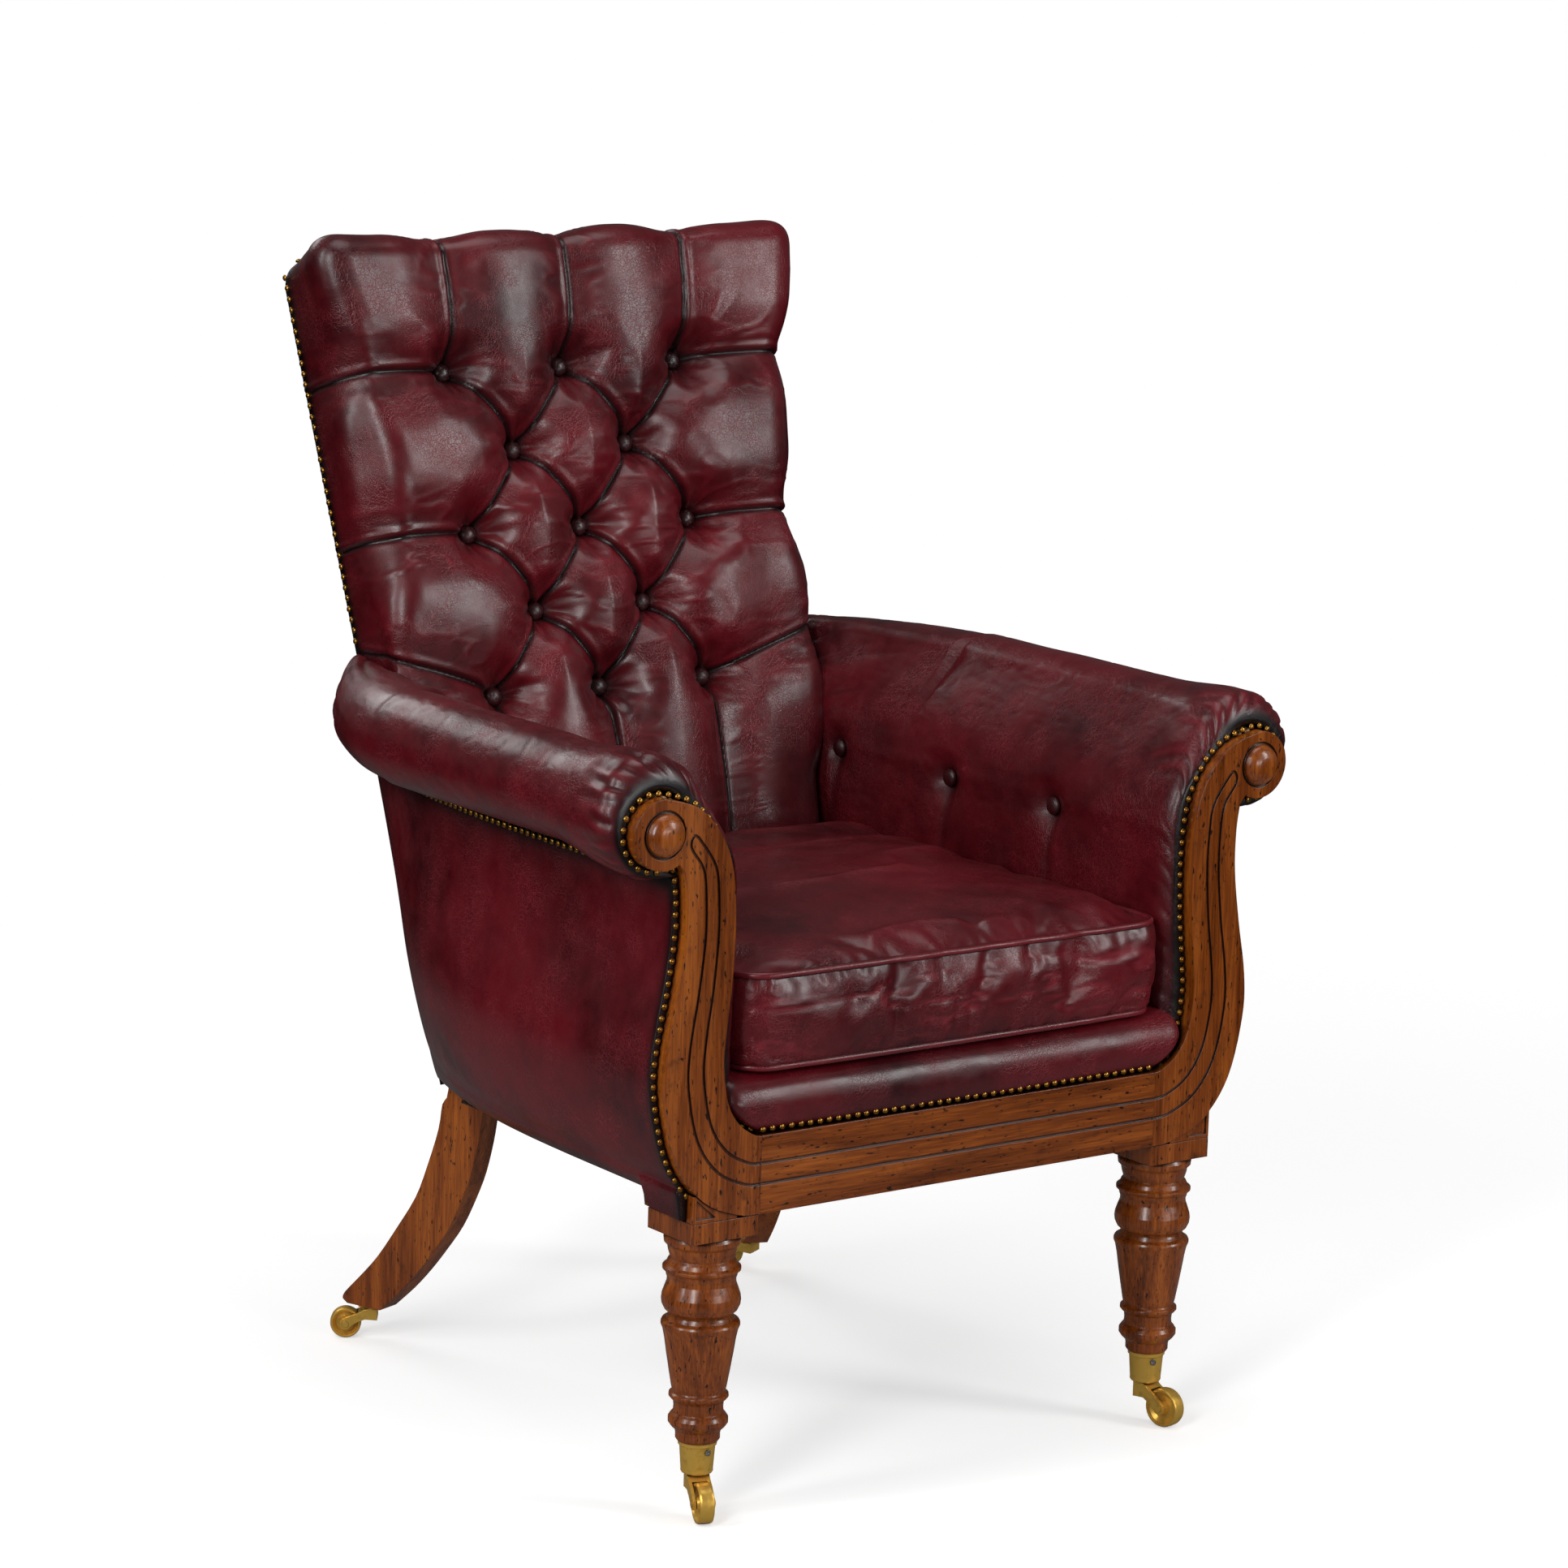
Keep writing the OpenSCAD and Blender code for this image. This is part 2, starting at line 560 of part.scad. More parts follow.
// Loose cushion: drawn in at its piped seams, full between them, crowned on top
cushion_corner = 26;
cushion_gap = 4;         // between the cushion and each arm
seam_in = 3;             // of the leather beside a piped seam, inside the piping's line
boxing_shares = [0.2, 0.4, 0.6, 0.8];
crown_shares = [0.93, 0.82, 0.68, 0.5, 0.32, 0.14];
module seat_cushion() {
    low = deck_z + touch;
    high = low + boxing_h;
    corner = cushion_corner;
    y1 = cushion_y + cushion_len;
    mid = [0, (cushion_y + y1) / 2];
    function half(y) = seat_half(y) - cushion_gap;
    function corner_run(cx, cy, start) =
        [for (a = [start:11.25:start + 90]) [cx + corner * cos(a), cy + corner * sin(a)]];
    hf = half(cushion_y) - corner;
    hr = half(y1) - corner;
    outline = concat(
        corner_run(hr, y1 - corner, 0), corner_run(-hr, y1 - corner, 90),
        corner_run(-hf, cushion_y + corner, 180), corner_run(hf, cushion_y + corner, 270));
    // a level ring, drawn in, and rounder the smaller its share of the outline
    function ring(z, inset, share) = [for (p = outline)
        let (d = p - mid, u = d / norm(d), oval = [u[0] * half(y1), u[1] * cushion_len / 2],
            q = mid + lerp(oval, d, share) * share - inset * u)
        [q[0], q[1], z]];
    rows = concat(
        [ring(low, 10 * seam_in, 1), ring(low + piping_r / 3, 3 * seam_in, 1), ring(low + piping_r, seam_in, 1),
            ring(low + 1.6 * piping_r, 0.4 * seam_in, 1), ring(low + 3 * piping_r, seam_in, 1)],
        [for (s = boxing_shares) ring(low + boxing_h * s, seam_in * pow(2 * s - 1, 2), 1)],
        [ring(high - 2 * piping_r, seam_in, 1), ring(high - piping_r, 0.4 * seam_in, 1), ring(high, seam_in, 1)],
        [for (s = crown_shares) ring(high + crown_h * (1 - pow(s, 3)), 0, s)]
    );
    color("#6a1a24") chair() skin(reverse(rows));
}

// Buttoned back
row_count = 5;
top_row_u = back_len - row_drop;
function row_u(r) = top_row_u - r * row_pitch;
function pitch_at(u) = button_pitch * (1 - 0.09 * clamp01((top_row_u - u) / (row_pitch * (row_count - 1))));
function row_buttons(r) = let (p = pitch_at(row_u(r)))
    r % 2 == 0 ? [[-p, row_u(r)], [0, row_u(r)], [p, row_u(r)]] : [[-p / 2, row_u(r)], [p / 2, row_u(r)]];
back_button_places = [for (r = [0:row_count - 1]) each row_buttons(r)];
crease_w = 0.38 * button_pitch;
crease_d = 0.45 * pit_d;

// creases: start, end, depth at the ends, depth half way
back_creases = concat(
    [for (r = [0:row_count - 2], a = row_buttons(r), b = row_buttons(r + 1))
        if (abs(a[0] - b[0]) < 0.7 * button_pitch) [a, b, pit_d * 0.8, crease_d]],
    [for (r = [0, 2], side = [-1, 1]) let (u = row_u(r))
        [[side * pitch_at(u), u], [side * (back_half(u) + button_r), u - button_r],
            pit_d * 0.45, crease_d * 0.8]],
    [for (side = [-1, 1]) let (u = row_u(row_count - 1))
        [[side * pitch_at(u), u], [side * (back_half(u) + button_r), u + row_pitch * 0.7],
            pit_d * 0.4, crease_d * 0.7]],
    [for (k = [-1, 0, 1]) [[k * button_pitch, top_row_u], [k * button_pitch, back_len + row_pitch],
        pit_d * 0.35, crease_d * 0.7]],
    [for (k = [-1, 0, 1]) let (u = row_u(row_count - 1))
        [[k * pitch_at(u), u], [k * pitch_at(u) * 0.9, 0], pit_d * 0.3, crease_d * 0.6]]
);

function segment_share(p, a, b) = clamp01(((p - a) * (b - a)) / ((b - a) * (b - a)));
function crease_depth(p, c) =
    let (t = segment_share(p, c[0], c[1]), d = norm(p - lerp(c[0], c[1], t)), e = 2 * t - 1)
    d >= crease_w ? 0 : (c[3] + (c[2] - c[3]) * e * e) * pow(1 - d / crease_w, 2);
function pit_depth(p, b) = let (d = norm(p - b)) d >= crease_w ? 0 : pit_d * pow(1 - d / crease_w, 2);
function tuft_depth(p) = max(concat([for (c = back_creases) crease_depth(p, c)],
    [for (b = back_button_places) pit_depth(p, b)]));

pad_bow = 2;             // fullness of the pad's middle over its edges
pad_crest = 14;          // rise of the top of the back from its rear edge to its front
edge_soft = 1.2;         // rounding of the pad's sides
pad_edge_shares = [0.88, 0.96];
pad_side_shares = [0.55, 0.28];
module back_pad() {
    cavity = upright_back + upright_d + web_t + 2 * touch;
    skin_t = panel_t + touch;
    rear_w = panel_t + touch;
    rings_u = [for (j = [-27:5]) top_row_u + j * row_pitch / 4];
    // how far the front edge is rounded off, more beside the arms
    function edge_drop(u) = back_t * lerp(0.475, 0.2, ease((u / back_len - 0.31) / 0.27));
    function front_w(x, u, tufted) = let (a = abs(x) / back_half(u))
        back_t - (tufted ? tuft_depth([x, u]) * (1 - ease((a - 0.9) / 0.1)) : 0) - pad_bow * a * a
            - edge_drop(u) * pow(clamp01((a - 0.8) / 0.2), 2);
    // the two end rings are untufted, so that their caps lie flat
    function ring(u, half, thick, hollow, tilt, tufted = true) =
        let (
            share = thick / back_t,
            xs = concat([for (s = reverse(pad_edge_shares)) -s * half],
                [for (k = [-9:9]) k * pitch_at(u) / 6], [for (s = pad_edge_shares) s * half]),
            side_w = [for (s = pad_side_shares) lerp(rear_w, thick, s)],
            pts = concat(
                [[-half + edge_soft, rear_w], [-half, side_w[1]], [-half, side_w[0]]],
                [for (x = xs) [x, share * front_w(x, u, tufted)]],
                [[half, side_w[0]], [half, side_w[1]], [half - edge_soft, rear_w]],
                [[half - skin_t, rear_w + touch], [half - skin_t, hollow], [-half + skin_t, hollow],
                    [-half + skin_t, rear_w + touch]])
        )
        [for (p = pts) [p[0], -p[1], u + tilt * p[1] / back_t]];
    rows = concat(
        [for (u = rings_u) ring(u, back_half(u), back_t, cavity, 0, u > rings_u[0])],
        [ring(back_len - 2 * panel_t, back_half_top, back_t, cavity, 0.75 * pad_crest),
            ring(back_len - 1.6 * panel_t, back_half_top, back_t, rear_w + panel_t, 0.8 * pad_crest),
            ring(back_len - 0.4 * panel_t, back_half_top - edge_soft, back_t * 0.97, rear_w + panel_t, pad_crest),
            ring(back_len + 0.4 * panel_t, back_half_top - 4 * edge_soft, back_t * 0.9, rear_w + panel_t,
                1.05 * pad_crest, false)]
    );
    front_points = len(rows[0]) - 4;
    color("#6a1a24") in_back()
        skin(reverse(rows), band_cap(rows[len(rows) - 1], front_points), band_cap(rows[0], front_points));
}

module covered_button() {
    rise = button_r * 2;
    dome = button_r * 0.45;
    rotate([90, 0, 0]) rotate_extrude($fn = 32) polygon(concat(
        [[0, 0], [button_r * 0.95, rise * 0.95]],
        [for (a = [0:15:90]) [button_r * cos(a), rise + dome * sin(a)]]
    ));
}

module back_buttons() {
    color("#3c0f16") in_back() for (b = back_button_places)
        translate([b[0], -(back_t - pit_d) - button_sink, b[1]]) covered_button();
}

module outer_back_panel() {
    low = 5 * panel_t;
    color("#5a1620") in_back() rotate([90, 0, 0]) linear_extrude(height = panel_t)
        polygon([[-back_half(low), low], [back_half(low), low],
            [back_half_top, back_len], [-back_half_top, back_len]]);
}

// Padded arm: a C-shaped sleeve round the arm's frame, from the inner arm over the roll to the seam
arm_button_shares = [0.36, 0.655, 0.985];
arm_button_drop = 20;    // of the arm's buttons below the seam under the roll
arm_dimple = 9;
dimple_w = 34;
puff_len = 120;          // over which the fuller front end of the roll runs out
flap = 4;                // of the pad's edge above the nailed seam
shoulder_z = scroll_h - 16;
face_shares = [0, 0.18, 0.36, 0.53, 0.69, 0.79, 0.88, 0.97];
arm_button_z = seam_z - arm_button_drop;
function seat_half(y) = lerp(seat_half_front, seat_half_rear, clamp01(y / arm_end_y));
function arm_button_y(k) = arm_button_shares[k] * (arm_end_y - button_r);
// how far out a section of the arm stands: whole to the corner, nothing at the end
function pull(y) = y <= corner_y ? 1 : sqrt(max(0, 1 - pow((y - corner_y) / arm_corner_r, 2)));
function slab_side(z) = back_half((z - back_foot_z) / cos(rake)) + panel_t + touch;
// from the front: distance, fullness, rise of the centre, set-in of the inner face, settling, as shares
arm_front_shares = [
    [0, 0, 0, 0, 0], [0.025, 0.5, 0.35, 0.35, 0], [0.075, 0.85, 0.6, 0.75, 0], [0.18, 1, 0.7, 1, 0],
    [0.4, 1, 0.8, 1, 0.1], [0.67, 1, 0.9, 1, 0.6], [1, 1, 1, 1, 1],
];

module arm_pad() {
    low = deck_z + touch;
    tight_r = scroll_r + nail_strip + touch;
    front = facing_t + touch;
    seam_x = across(outer_curve, seam_z) + panel_t / 2;
    end_share = 0.3;
    base_x = seat_half_rear + arm_dimple / 4;
    out_x = roll_x + roll_r;
    // draws the section in towards the back's side round the rear corner
    function draw_in(x, y) =
        let (
            t = pull(y),
            seam_now = lerp(slab_side(seam_z) + panel_t / 2, seam_x, t),
            out_now = lerp(lerp(base_x, out_x, end_share + 0.06), out_x, t)
        )
        t == 1 || x <= base_x ? x
        : x <= seam_x ? lerp(base_x, seam_now, (x - base_x) / (seam_x - base_x))
        : lerp(seam_now, out_now, (x - seam_x) / (out_x - seam_x));
    function dimple(y, z) = arm_dimple * max([for (k = [0:2])
        exp(-3 * pow(norm([y - arm_button_y(k), z - arm_button_z]) / dimple_w, 2))]);
    function face_x(y, z, f) = lerp(across(inner_curve, z) - nail_strip, seat_half(y), f) + dimple(y, z) * f;
    function outer_run(y, r, cz, f) =
        let (
            sag = (1 - pull(y)) * roll_r / 4,
            shoulder = [face_x(y, shoulder_z, f) + arm_dimple * f, shoulder_z],
            roll = [for (a = [150:-19.5:-85])
                [roll_x + r * cos(a), cz + r * sin(a) - (a > 0 ? sag : -sag / 2)]]
        )
        concat([for (s = face_shares) let (z = lerp(low, seam_z, s)) [face_x(y, z, f), z]], [shoulder], roll,
            [[seam_x, seam_z + flap]]);
    function inner_run(y) =
        let (
            r = (core_r + touch) / cos(15) * lerp(end_share, 1, pull(y)),
            around = [for (a = [-95:30:145]) [roll_x + r * cos(a), core_z + r * sin(a)]],
            neck = [across(inner_curve, neck_z) + frame_inset - 3 * touch, neck_z + 5 * touch],
            drop = [for (s = [1.05, 0.8, 0.47, 0.12, 0]) let (z = lerp(low, seam_z, s))
                [across(inner_curve, max(z, low + roll_r / 2)) - touch, z]]
        )
        concat([[seam_x, seam_z + 2 * flap]], around, [neck], drop);
    // past the corner the sections lean back with the back, up to a share of its rake
    function ring(y, r, cz, f, lean = 0) = [for (p = concat(outer_run(y, r, cz, f), inner_run(y)))
        [draw_in(p[0], y), y + lean * (p[1] - seam_z) * tan(rake), p[1]]];
    rows = concat(
        [for (s = arm_front_shares)
            ring(front + s[0] * puff_len, lerp(lerp(tight_r, roll_front_r, s[1]), roll_r, s[4]),
                lerp(scroll_h, roll_z, s[2]), s[3])],
        [for (k = [1:6]) ring(lerp(front + puff_len, corner_y, k / 6), roll_r, roll_z, 1)],
        [for (a = [20, 36, 52, 66, 78, 88]) ring(corner_y + arm_corner_r * sin(a), roll_r, roll_z, 1, sin(a))]
    );
    outer_points = len(outer_run(front, tight_r, scroll_h, 0));
    color("#6a1a24") skin(reverse(rows), band_cap(rows[len(rows) - 1], outer_points), band_cap(rows[0], outer_points));
}

module arm_buttons() {
    color("#3c0f16") chair() for (side = [-1, 1], k = [0:1]) scale_x(side)
        translate([seat_half(arm_button_y(k)) + arm_dimple * 0.55, arm_button_y(k), arm_button_z])
            rotate([0, 0, -90]) flat_button();
}

module flat_button() {
    rotate([90, 0, 0]) rotate_extrude($fn = 32) polygon(concat(
        [[0, 0]], [for (a = [0:15:90]) [button_r * cos(a), button_r * (0.15 + 0.45 * sin(a))]]));
}

// Outer side panel: leather from the seam under the roll to the foot of the arm; it hangs outside
// the leg block and turns in under the rail behind it
panel_shares = [1, 0.9, 0.8, 0.68, 0.56, 0.44, 0.33, 0.23, 0.15, 0.09];
beside_block_shares = [[0.58, 0.37], [0.54, 0.19], [0.52, 0.02]];
under_rail_shares = [[0.52, 0.34], [0.31, 0.14], [0.045, 0.03]];
module outer_side_panel() {
    front = facing_t + touch;
    foot = rail_z + panel_t;
    block_back = front_leg_y + block_w / 2;
    function section(y) = let (b = ease((y - block_back - touch) / (block_w / 4)))
        concat([for (s = panel_shares) let (z = lerp(foot, seam_z, s)) [across(outer_curve, z) + panel_t / 2, z]],
            [for (k = [0:2]) let (s = lerp(beside_block_shares[k], under_rail_shares[k], b))
                [leg_x + s[0] * block_w, rail_z + s[1] * block_w]]);
    function rear_y_at(z) = back_foot_y + (z - back_foot_z) * tan(rake);
    // a station: along the arm, round the corner, then along the side of the back
    function station(t, z) = t <= 1 ? lerp(front, corner_y, t)
        : t <= 2 ? corner_y + arm_corner_r * sin(90 * (t - 1)) : lerp(arm_end_y, rear_y_at(z), t - 2);
    function place(p, t) =
        let (y = station(t, p[1]), k = t >= 2 ? 0 : pull(y)) [lerp(slab_side(p[1]), p[0], k), y, p[1]];
    // the leather's outward direction in plan
    function plan_normal(x, z, t) =
        t <= 1 || t >= 2 ? [1, 0]
        : let (turn = 90 * (t - 1), width = (x - slab_side(z)) / cos(turn),
            n = [arm_corner_r * cos(turn), width * sin(turn)]) n / norm(n);
    function ring(t) =
        let (
            run = section(station(min(t, 1), seam_z)),
            outer = [for (p = run) place(p, t)],
            flat = [for (p = outer) [p[0], p[2]]],
            inner = [for (i = [0:len(run) - 1])
                let (m = path_normal(flat, i) * panel_t, h = plan_normal(flat[i][0], flat[i][1], t),
                    z = flat[i][1] - m[1])
                [flat[i][0] - m[0] * h[0], station(t, z) - m[0] * h[1], z]]
        )
        concat(outer, reverse(inner));
    along = [0, 0.05, 0.1, 0.14, 0.17, 0.2, 0.5, 1, 1.15, 1.3, 1.45, 1.6, 1.75, 1.9, 2, 2.5, 3];
    rows = [for (t = along) ring(t)];
    outer_points = len(rows[0]) / 2;
    color("#5a1620") skin(reverse(rows), band_cap(rows[len(rows) - 1], outer_points), band_cap(rows[0], outer_points));
}

// Castors, each drawn with its pivot on Z and its wheel trailing along +Y
module castor_place(index) {
    front = index < 2;
    side = index % 2 == 0 ? -1 : 1;
    chair() translate([side * (front ? leg_x : rear_x), front ? front_leg_y : rear_pivot_y, 0])
        rotate([0, 0, swivels[index]]) children();
}
brass = "#c79a3c";
castor_gap = 1;          // between a horn and the cup or plate over it
fork_t = 2.6;
fork_gap = 0.7;
eye_r = 5.2;
pivot_r = 5.6;
hub_r = 5;
plate_t = 2.2;           // plate under a rear foot
plate_w = 17;
screw_r = 1.4;
front_horn_top = cup_z - castor_gap;
rear_horn_top = foot_z - plate_t - castor_gap;

module castor_horn(wheel_r, top) {
    h = top - wheel_r;
    side = [
        [-pivot_r, top], [pivot_r * 0.9, top], [castor_trail * 0.45, wheel_r + h * 0.8],
        [castor_trail * 0.72, wheel_r + h * 0.62], [castor_trail + eye_r * 0.5, wheel_r + eye_r * 0.85]];
    under = [[castor_trail - eye_r * 0.9, wheel_r - eye_r * 0.4], [castor_trail * 0.5, wheel_r + h * 0.17],
        [pivot_r, wheel_r + h * 0.34], [-pivot_r, wheel_r + h * 0.3]];
    wide = wheel_w + 2 * fork_gap + 2 * fork_t;
    color(brass) {
        difference() {
            rotate([90, 0, 90]) translate([0, 0, -wide / 2]) linear_extrude(height = wide) {
                polygon(concat(spline(side, 3), under));
                translate([castor_trail, wheel_r]) circle(r = eye_r, $fn = fine);
            }
            translate([-wheel_w / 2 - fork_gap, castor_trail, wheel_r]) rotate([0, 90, 0])
                cylinder(r = wheel_r + 2 * fork_gap, h = wheel_w + 2 * fork_gap, $fn = fine);
            translate([-wide, castor_trail, wheel_r]) rotate([0, 90, 0])
                cylinder(r = axle_r, h = 2 * wide, $fn = fine);
        }
        translate([0, 0, wheel_r + h * 0.3 - fork_t / 2]) cylinder(r = pivot_r * 0.7, h = fork_t, $fn = fine);
        translate([0, 0, top - touch]) cylinder(r = pivot_r * 1.7, h = fork_t / 3, $fn = fine);
        translate([0, 0, top - touch]) cylinder(r = pintle_r, h = pintle_reach(), $fn = fine);
    }
}

rivet_h = 0.8;
module castor_axle(wheel_r) {
    wide = wheel_w + 2 * fork_gap + 2 * fork_t;
    color("#8d8a80") translate([-wide / 2, castor_trail, wheel_r]) rotate([0, 90, 0]) {
        cylinder(r = axle_r, h = wide, $fn = fine);
        translate([0, 0, -rivet_h]) cylinder(r = axle_r * 1.3, h = rivet_h, $fn = fine);
        translate([0, 0, wide]) cylinder(r = axle_r * 1.3, h = rivet_h, $fn = fine);
    }
}

wheel_rim = 2.4;
wheel_web = 2;           // half the thickness of the dished web
rim_round = 1.6;
module castor_wheel(wheel_r) {
    half = wheel_w / 2;
    face = [[wheel_r - wheel_rim, half], [wheel_r - 1.3 * wheel_rim, half - rim_round],
        [wheel_r * 0.62, wheel_web * 0.8], [hub_r + wheel_rim / 2, wheel_web], [hub_r, half]];
    back_face = [for (p = reverse(face)) [p[0], -p[1]]];
    crown = rim_round / 8;
    tread = [[wheel_r - rim_round / 2, -half], [wheel_r - crown, -half + rim_round], [wheel_r, 0],
        [wheel_r - crown, half - rim_round], [wheel_r - rim_round / 2, half]];
    bore = axle_r + run_gap;
    color(brass) translate([0, castor_trail, wheel_r]) rotate([0, 90, 0]) rotate_extrude($fn = fine)
        polygon(concat([[bore, -half]], back_face, tread, face, [[bore, half]]));
}

cup_lip = 0.7;
cup_band = 3;            // height of the raised band round each rim of a cup
module castor_cup() {
    top = cup_z + cup_h;
    floor_z = cup_z + cup_h / 3;
    high_r = cup_r + cup_flare;
    color(brass) translate([leg_x, front_leg_y, 0]) rotate_extrude($fn = fine) polygon([
        [pintle_r + run_gap, cup_z], [cup_r, cup_z], [cup_r + cup_lip, cup_z + cup_band * 0.4],
        [cup_r + cup_lip * 0.9, cup_z + cup_band], [cup_r + cup_flare * 0.8, top - cup_band * 1.3],
        [high_r + cup_lip, top - cup_band], [high_r + cup_lip, top], [high_r - cup_wall, top],
        [cup_r - cup_wall + cup_flare / 3, floor_z], [pintle_r + run_gap, floor_z]]);
}

module castor_plate() {
    color(brass) translate([rear_x, rear_pivot_y, foot_z - plate_t - touch / 3]) rotate([0, 0, -sabre_turn])
        difference() {
            translate([-plate_w / 2, -plate_w / 2, 0]) cube([plate_w, plate_w, plate_t]);
            translate([0, 0, -overrun]) cylinder(r = pintle_r + run_gap, h = plate_t + 2 * overrun, $fn = fine);
            for (c = [-1, 1]) translate([c * plate_w * 0.35, -c * plate_w * 0.35, -overrun])
                cylinder(r = screw_r + touch / 6, h = plate_t + 2 * overrun, $fn = fine);
        }
}

module castor_plate_screws() {
    color("#8d8a80") chair() for (side = [-1, 1], c = [-1, 1])
        scale_x(side) translate([rear_x, rear_pivot_y, foot_z - plate_t - touch / 3])
            rotate([0, 0, -sabre_turn]) translate([c * plate_w * 0.35, -c * plate_w * 0.35, 0])
                cylinder(r = screw_r, h = plate_t, $fn = 32);
}

cup_screw_r = 2.6;
cup_screw_h = 0.9;
module castor_cup_screws() {
    z = cup_z + cup_h * 0.72;
    r = cup_r + cup_flare * 0.62;
    slot = cup_screw_h * 0.6;
    color("#6f6a62") chair() for (side = [-1, 1])
        translate([side * leg_x, front_leg_y, z]) rotate([0, 0, side * -8 - 8]) rotate([90, 0, 0])
            translate([0, 0, r + 2 * touch]) difference() {
                cylinder(r = cup_screw_r, h = cup_screw_h, $fn = 32);
                translate([-cup_screw_r, -slot / 2, slot]) cube([2 * cup_screw_r, slot, overrun]);
            }
}

front_rail();
left() facing();  // facing_left
right() facing();  // facing_right
left() scroll_boss();  // scroll_boss_left
right() scroll_boss();  // scroll_boss_right
left() spandrel();  // spandrel_left
right() spandrel();  // spandrel_right
left() front_leg();  // front_leg_left
right() front_leg();  // front_leg_right
left() rear_leg();  // rear_leg_left
right() rear_leg();  // rear_leg_right
left() side_rail();  // side_rail_left
right() side_rail();  // side_rail_right
back_rail();
front_corner_blocks();
left() rear_corner_block();  // rear_corner_block_left
right() rear_corner_block();  // rear_corner_block_right
back_upright(-1);  // back_upright_left
back_upright(1);  // back_upright_right
back_top_rail();
back_lower_rail();
left() arm_stump();  // arm_stump_left
right() arm_stump();  // arm_stump_right
left() arm_rail();  // arm_rail_left
right() arm_rail();  // arm_rail_right
left() arm_rear_post();  // arm_rear_post_left
right() arm_rear_post();  // arm_rear_post_right
seat_webbing();
back_webbing();
dust_cover();
seat_deck();
seat_cushion();
back_pad();
back_buttons();
outer_back_panel();
left() arm_pad();  // arm_pad_left
right() arm_pad();  // arm_pad_right
arm_buttons();
left() outer_side_panel();  // outer_side_panel_left
right() outer_side_panel();  // outer_side_panel_right
left() castor_cup();  // castor_cup_left
right() castor_cup();  // castor_cup_right
left() castor_plate();  // castor_plate_left
right() castor_plate();  // castor_plate_right
castor_place(0) castor_horn(front_wheel_r, front_horn_top);  // castor_horn_front_left
castor_place(1) castor_horn(front_wheel_r, front_horn_top);  // castor_horn_front_right
castor_place(2) castor_horn(rear_wheel_r, rear_horn_top);  // castor_horn_rear_left
castor_place(3) castor_horn(rear_wheel_r, rear_horn_top);  // castor_horn_rear_right
castor_place(0) castor_axle(front_wheel_r);  // castor_axle_front_left
castor_place(1) castor_axle(front_wheel_r);  // castor_axle_front_right
castor_place(2) castor_axle(rear_wheel_r);  // castor_axle_rear_left
castor_place(3) castor_axle(rear_wheel_r);  // castor_axle_rear_right
castor_place(0) castor_wheel(front_wheel_r);  // castor_wheel_front_left
castor_place(1) castor_wheel(front_wheel_r);  // castor_wheel_front_right
castor_place(2) castor_wheel(rear_wheel_r);  // castor_wheel_rear_left
castor_place(3) castor_wheel(rear_wheel_r);  // castor_wheel_rear_right
castor_cup_screws();
castor_plate_screws();
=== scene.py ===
"""Looks of a deep-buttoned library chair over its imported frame: leather, wood, brass, light and camera.

Lengths are the real chair's, in millimetres, unless a name says metres: x to the right as seen from
the front, y back from the front of the arm facings, z up from the floor.
"""
from __future__ import annotations

import json
import logging
import math
from dataclasses import dataclass
from enum import Enum
from typing import Any, Sequence

import bpy
import numpy as np
from mathutils import Matrix, Vector
from mathutils.bvhtree import BVHTree

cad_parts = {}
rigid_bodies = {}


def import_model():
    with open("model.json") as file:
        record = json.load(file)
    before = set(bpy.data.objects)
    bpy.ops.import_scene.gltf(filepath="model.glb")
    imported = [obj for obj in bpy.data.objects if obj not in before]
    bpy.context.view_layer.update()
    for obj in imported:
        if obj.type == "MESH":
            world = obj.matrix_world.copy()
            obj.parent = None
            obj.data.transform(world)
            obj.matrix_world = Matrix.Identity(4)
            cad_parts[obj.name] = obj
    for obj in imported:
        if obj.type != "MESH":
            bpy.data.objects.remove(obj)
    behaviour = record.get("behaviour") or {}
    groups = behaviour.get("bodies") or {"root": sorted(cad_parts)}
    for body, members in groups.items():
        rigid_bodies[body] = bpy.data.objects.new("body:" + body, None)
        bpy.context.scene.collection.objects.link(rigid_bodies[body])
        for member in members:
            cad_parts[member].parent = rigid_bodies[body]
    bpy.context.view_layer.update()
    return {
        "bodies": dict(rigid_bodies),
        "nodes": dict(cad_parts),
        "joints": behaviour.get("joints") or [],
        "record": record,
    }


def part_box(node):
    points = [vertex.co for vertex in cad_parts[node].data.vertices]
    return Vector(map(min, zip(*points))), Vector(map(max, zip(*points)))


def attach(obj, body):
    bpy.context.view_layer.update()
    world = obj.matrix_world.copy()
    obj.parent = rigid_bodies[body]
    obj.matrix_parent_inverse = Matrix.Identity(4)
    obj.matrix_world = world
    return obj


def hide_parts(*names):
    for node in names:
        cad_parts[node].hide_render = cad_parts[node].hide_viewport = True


LOG = logging.getLogger("library_chair")
METRE = 0.001
SIDES = ((-1, "left"), (1, "right"))
Array = np.ndarray
Socket = bpy.types.NodeSocket


class Body(Enum):
    """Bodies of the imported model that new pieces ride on."""

    FRAME = "frame"
    CUSHION = "seat_cushion"


class Slot(Enum):
    """Material slots of the record."""

    LEATHER = "leather"
    BEECH = "beech"
    BRASS = "brass"


# Plain maths ---------------------------------------------------------------------------------


def mix(a: Any, b: Any, share: Any) -> Any:
    """Returns the value a share of the way from a to b."""
    return a + (b - a) * share


def ease(x: Any) -> Any:
    """Returns 0 below 0, 1 above 1 and a smooth rise between."""
    c = np.clip(x, 0.0, 1.0)
    return c * c * (3 - 2 * c)


